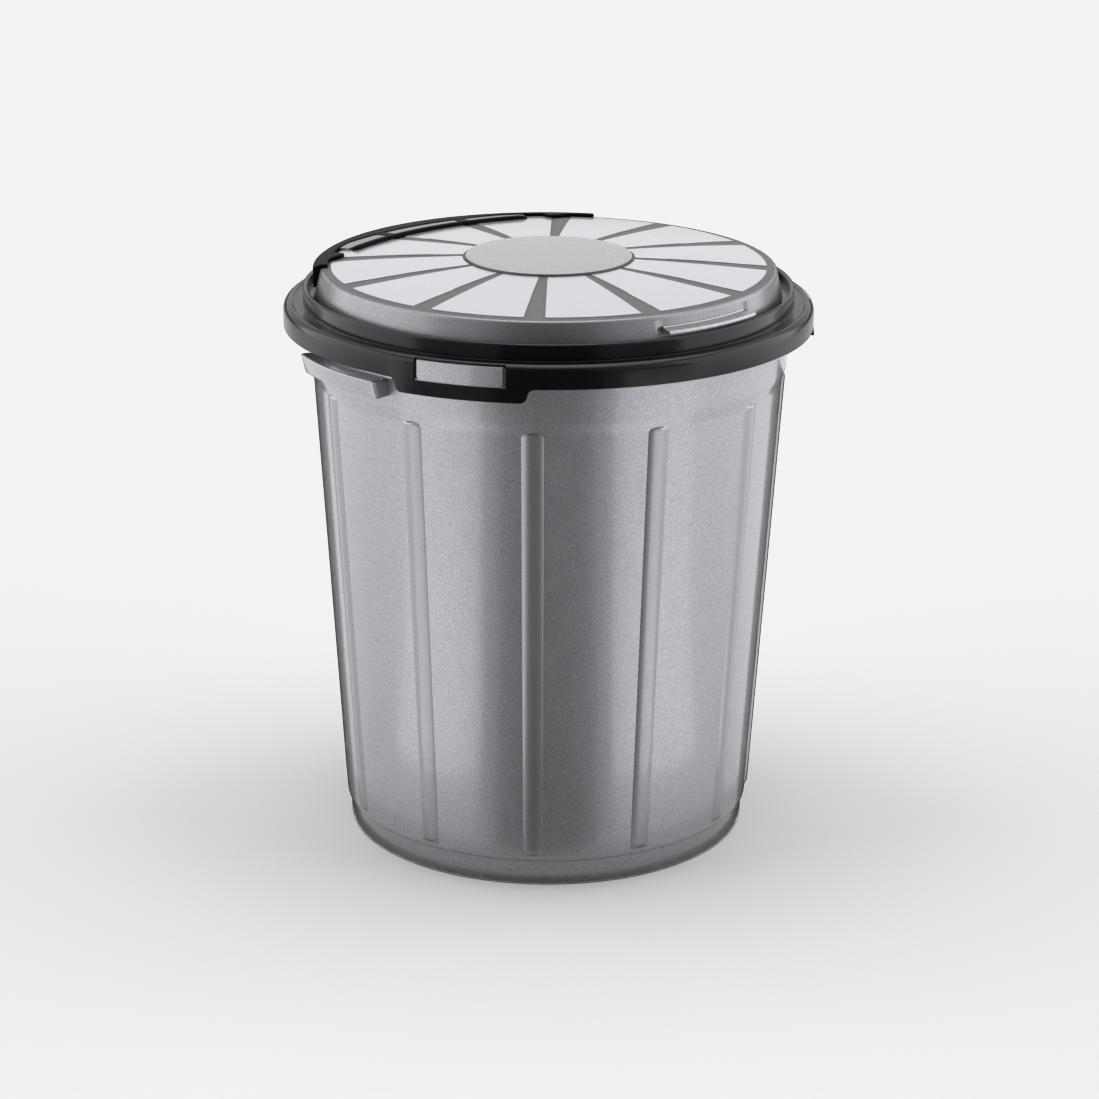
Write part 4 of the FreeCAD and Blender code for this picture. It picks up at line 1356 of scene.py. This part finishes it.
    def strips(self) -> list[Patch]:
        """The lid's three strips that stand in the slots, each a little smaller than its slot all round.

        Returns:
            The patches of three closed shapes.
        """
        bend, centre = self.bend()
        pitch = (self.slot_middle + self.slot_side) / 2.0 + self.bridge
        low, high = -self.strip_seat, self.strip_rise
        patches = []
        for place, width in ((-pitch, self.slot_side), (0.0, self.slot_middle), (pitch, self.slot_side)):
            half = width / 2.0 - self.strip_gap
            turn = np.linspace(place - half, place + half, self.strip_columns) / (bend + self.roll)
            near = np.full_like(turn, self.roll + self.strip_gap)
            far = self.band_line(turn) - self.strip_gap
            loop = bend + np.stack([near, near, far, far, near])
            x, y = loop * np.sin(turn), centre + loop * np.cos(turn)
            z = self.lid.dome(np.hypot(x, y)) + np.array([low, high, high, low, low])[:, None]
            patches += capped(np.stack([x, y, z], axis=-1))
        return patches

    def build(self, finish: bpy.types.Material, strip_finish: bpy.types.Material) -> None:
        """Builds the crescent with its arms, and the strips in its slots.

        Args:
            finish: the black material.
            strip_finish: the lid's finish, for the strips.
        """
        crescent = self.outer_band() + self.inner_roll() + self.bridges()
        Piece("hinge_crescent", crescent, [finish], Body.LID, Slot.BLACK, ("hinge_yoke",)).build()
        Piece("hinge_arms", self.arms(), [finish], Body.LID, Slot.BLACK, edges=Edges.BROKEN).build()
        Piece("lid_slot_strips", self.strips(), [strip_finish], Body.LID, Slot.LID, edges=Edges.BROKEN,
              bevel_mm=0.3).build()


# Studio

class Shade(Enum):
    """Brightness of the cards: 0 is black and 1 is the white of the backdrop."""

    DARK = 0.0
    DIM = 0.14
    GREY = 0.5
    BRIGHT = 2.2
    STRIP = 5.0


@dataclass(frozen=True)
class Softbox:
    """A soft lamp: its angle to the right of the camera, distance, height, two sizes and power."""

    name: str
    turn: float
    distance: float
    height: float
    width: float
    depth: float
    watts: float


@dataclass(frozen=True)
class Card:
    """A flat card: places to the right of the bin's axis, behind it and above the floor.

    A card of two places runs across to their mirror images; one of four stands on both sides.
    """

    name: str
    shade: Shade
    places: tuple[Corner, ...]


SOFTBOXES = (Softbox("softbox_left", -92.0, 1700.0, 850.0, 2400.0, 2200.0, 34.0),
             Softbox("softbox_right", 92.0, 1700.0, 850.0, 2400.0, 2200.0, 34.0),
             Softbox("softbox_above", 180.0, 300.0, 2600.0, 2600.0, 2200.0, 40.0))
WIDE_CARDS = (Card("front_card", Shade.DIM, ((70.0, -217.0, 2.0), (420.0, -1340.0, 2000.0))),
              Card("wide_card", Shade.GREY, ((105.0, -225.0, 1.6), (640.0, -1352.0, 2000.0))),
              Card("back_card", Shade.DARK, ((900.0, 700.0, 400.0), (900.0, 700.0, 505.0))),
              Card("strip_above", Shade.STRIP, ((500.0, -300.0, 2400.0), (500.0, 200.0, 2400.0))))
SIDE_CARDS = (Card("floor_light", Shade.BRIGHT, ((150.0, -330.0, 1.0), (330.0, -110.0, 1.0),
                                                 (2500.0, -900.0, 1.0), (900.0, -2500.0, 1.0))),
              Card("edge_card", Shade.DARK, ((180.0, 120.0, 2.0), (280.0, 120.0, 2.0),
                                             (312.0, 120.0, 352.0), (196.0, 120.0, 352.0))),
              Card("floor_card", Shade.DARK, ((168.0, -35.0, 1.5), (172.0, -35.0, 1.5),
                                              (280.0, 120.0, 1.5), (165.0, 120.0, 1.5))))
# flat rings on the floor round the foot, a painted shadow that the bin's base mirrors: name, shade, inner
# and outer radius
FOOT_SHADOW_RINGS = (("foot_shade", Shade.GREY, 176.0, 228.0), ("foot_shadow_line", Shade.DARK, 168.0, 176.0))


@dataclass
class Studio:
    """Pale floor, soft lamps, cards for the reflections and the camera at the photograph's angle."""

    backdrop: str = "#F3F3F5"
    floor_colour: str = "#E6E6E8"
    floor_reach_mm: float = 30000.0
    floor_roughness: float = 0.9
    camera_turn: float = -131.5
    camera_distance: float = 2560.0
    camera_height: float = 1085.0
    camera_reach: float = 100.0
    pitch: float = 18.41
    roll: float = 0.30
    focal_px: float = 3200.0
    image_px: float = 1099.0
    axis_px: float = 547.3
    sensor_mm: float = 36.0
    sky_level: float = 0.5
    aim_height: float = 250.0
    ring_height: float = 0.8
    ring_columns: int = 49

    def camera(self) -> None:
        """Places the camera: it looks at the bin's axis, tilted down and rolled a little."""
        place = self.spot(0.0, self.camera_distance, self.camera_height)
        data = bpy.data.cameras.new("camera")
        data.sensor_width = self.sensor_mm
        data.lens = self.focal_px / self.image_px * self.sensor_mm
        data.shift_x = (self.image_px / 2.0 - self.axis_px) / self.image_px
        data.clip_end = self.camera_reach
        camera = bpy.data.objects.new("camera", data)
        heading = math.atan2(-place.y, -place.x) - math.pi / 2.0
        camera.matrix_world = (
            Matrix.Translation(place) @ Matrix.Rotation(heading, 4, "Z")
            @ Matrix.Rotation(math.radians(90.0 - self.pitch), 4, "X")
            @ Matrix.Rotation(math.radians(self.roll), 4, "Z"))
        bpy.context.scene.collection.objects.link(camera)
        bpy.context.scene.camera = camera

    def spot(self, turn: float, distance: float, height: float) -> Vector:
        """A place seen from the bin's axis, by its angle to the right of the camera."""
        angle = math.radians(self.camera_turn + turn)
        return Vector((distance * math.cos(angle), distance * math.sin(angle), height)) * MM

    def lamp(self, box: Softbox) -> None:
        """Adds one lamp that points at the middle of the bin.

        Args:
            box: the lamp's place, sizes and power.
        """
        data = bpy.data.lights.new(box.name, "AREA")
        data.shape = "RECTANGLE"
        data.size, data.size_y = box.width * MM, box.depth * MM
        data.energy = box.watts
        lamp = bpy.data.objects.new(box.name, data)
        lamp.location = self.spot(box.turn, box.distance, box.height)
        aim = Vector((0.0, 0.0, self.aim_height * MM))
        lamp.rotation_euler = (aim - lamp.location).to_track_quat("-Z", "Y").to_euler()
        bpy.context.scene.collection.objects.link(lamp)

    def flat(self, corners: Array) -> Array:
        """Four corners in a loop, seen from the camera, as a grid of two rows in the bin's frame.

        Args:
            corners: each one's distance to the right of the bin's axis, behind it and above the floor.

        Returns:
            A grid of two rows of two points.
        """
        turn = math.radians(self.camera_turn)
        right, back = (-math.sin(turn), math.cos(turn), 0.0), (-math.cos(turn), -math.sin(turn), 0.0)
        return (corners @ np.array([right, back, (0.0, 0.0, 1.0)]))[[0, 1, 3, 2]].reshape(2, 2, 3)

    def card(self, name: str, grid: Array, shade: Shade) -> None:
        """Sets up a card that is seen only in the bin's reflections.

        Args:
            name: name of the card.
            grid: its points in millimetres.
            shade: its brightness.
        """
        mesh = bpy.data.meshes.new(name)
        mesh.from_pydata((grid.reshape(-1, 3) * MM).tolist(), [], Patch(grid).faces(0)[0].tolist())
        mesh.materials.append(self.glow(shade))
        card = bpy.data.objects.new(name, mesh)
        card.visible_camera = card.visible_shadow = card.visible_diffuse = card.visible_transmission = False
        bpy.context.scene.collection.objects.link(card)

    def glow(self, shade: Shade) -> bpy.types.Material:
        """Finds or makes the even grey of a card.

        Args:
            shade: how bright the card is.

        Returns:
            The material.
        """
        name = shade.name.lower() + "_card"
        if name in bpy.data.materials:
            return bpy.data.materials[name]
        material = bpy.data.materials.new(name)
        material.use_nodes = True
        tree = material.node_tree
        light = node(tree, "ShaderNodeEmission", {"Color": linear(self.backdrop), "Strength": shade.value})
        feed(tree, tree.nodes["Material Output"], {"Surface": light.outputs[0]})
        return material

    def floor(self) -> None:
        """Lays the pale floor, which shows the backdrop's colour and keeps the bin's shadow."""
        mesh = bpy.data.meshes.new("floor")
        reach = self.floor_reach_mm * MM
        corners = [(-reach, -reach, 0.0), (reach, -reach, 0.0), (reach, reach, 0.0), (-reach, reach, 0.0)]
        mesh.from_pydata(corners, [], [(0, 1, 2, 3)])
        material = bpy.data.materials.new("pale_floor")
        material.use_nodes = True
        feed(material.node_tree, material.node_tree.nodes["Principled BSDF"], {
            "Base Color": linear(self.floor_colour), "Roughness": self.floor_roughness,
            "Specular IOR Level": 0.0})
        mesh.materials.append(material)
        floor = bpy.data.objects.new("floor", mesh)
        floor.is_shadow_catcher = True
        bpy.context.scene.collection.objects.link(floor)

    def sky(self) -> None:
        """Lights the scene evenly; the camera and clear reflections see the backdrop's colour."""
        world = bpy.data.worlds.new("studio")
        world.use_nodes = True
        tree = world.node_tree
        path = node(tree, "ShaderNodeLightPath")
        seen = path.outputs["Is Camera Ray"]
        for ray in ("Is Glossy Ray", "Is Transmission Ray"):
            pair = {0: seen, 1: path.outputs[ray]}
            seen = node(tree, "ShaderNodeMath", pair, operation="MAXIMUM").outputs[0]
        light = tree.nodes["Background"]
        feed(tree, light, {"Color": linear(self.backdrop), "Strength": self.sky_level})
        shown = node(tree, "ShaderNodeBackground", {"Color": linear(self.backdrop), "Strength": 1.0})
        mix = node(tree, "ShaderNodeMixShader", {0: seen, 1: light.outputs[0], 2: shown.outputs[0]})
        feed(tree, tree.nodes["World Output"], {"Surface": mix.outputs[0]})
        bpy.context.scene.world = world

    def build(self) -> None:
        """Sets up the camera, the floor, the sky, the softboxes and the cards."""
        bpy.context.scene.view_settings.view_transform = "Standard"
        self.camera()
        self.floor()
        self.sky()
        for box in SOFTBOXES:
            self.lamp(box)
        mirror = np.array([-1.0, 1.0, 1.0])
        for card in WIDE_CARDS:
            low, high = np.array(card.places)
            self.card(card.name, self.flat(np.array([low * mirror, low, high, high * mirror])), card.shade)
        turn = np.linspace(0.0, 360.0, self.ring_columns)
        # dark rings round the foot stand in for the floor's shadow there, seen only in reflections
        for name, shade, inner, outer in FOOT_SHADOW_RINGS:
            profile = np.array([(inner, self.ring_height), (outer, self.ring_height)])
            self.card(name, revolve(profile, turn), shade)
        for card in SIDE_CARDS:
            self.card(card.name + "_left", self.flat(np.array(card.places) * mirror), card.shade)
            self.card(card.name + "_right", self.flat(np.array(card.places)), card.shade)


# angle from the front to the middle of each carry grip
GRIP_TURN = 95.0


def main() -> None:
    """Builds the bin's pieces in order, dresses the pins and sets up the studio."""
    logging.basicConfig(level=logging.INFO, format="%(message)s")
    satin, matt, lid_wall = WALL_FINISH.make(), RIB_PAINTED_SHADE.make(), LID_FINISH.make()
    polished, black, textured = PANEL_PAINTED_REFLECTION.make(), BLACK_FINISH.make(), YOKE_FINISH.make()
    lid = Lid()
    Bucket().build(satin, FLUTE_PAINTED_SHADE.make())
    CarryGrip("carry_grip_left", FRONT - GRIP_TURN).build(satin)
    CarryGrip("carry_grip_right", FRONT + GRIP_TURN).build(satin)
    ClipRing().build(black)
    lid.build(matt, polished, satin, lid_wall)
    HingeYoke(lid).build(textured, lid_wall)
    for side in ("left", "right"):
        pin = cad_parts["hinge_pin_" + side]
        pin.material_slots[0].material = black
        log.info("%s: finish only", pin.name)
    Studio().build()


if __name__ == "__main__":
    main()
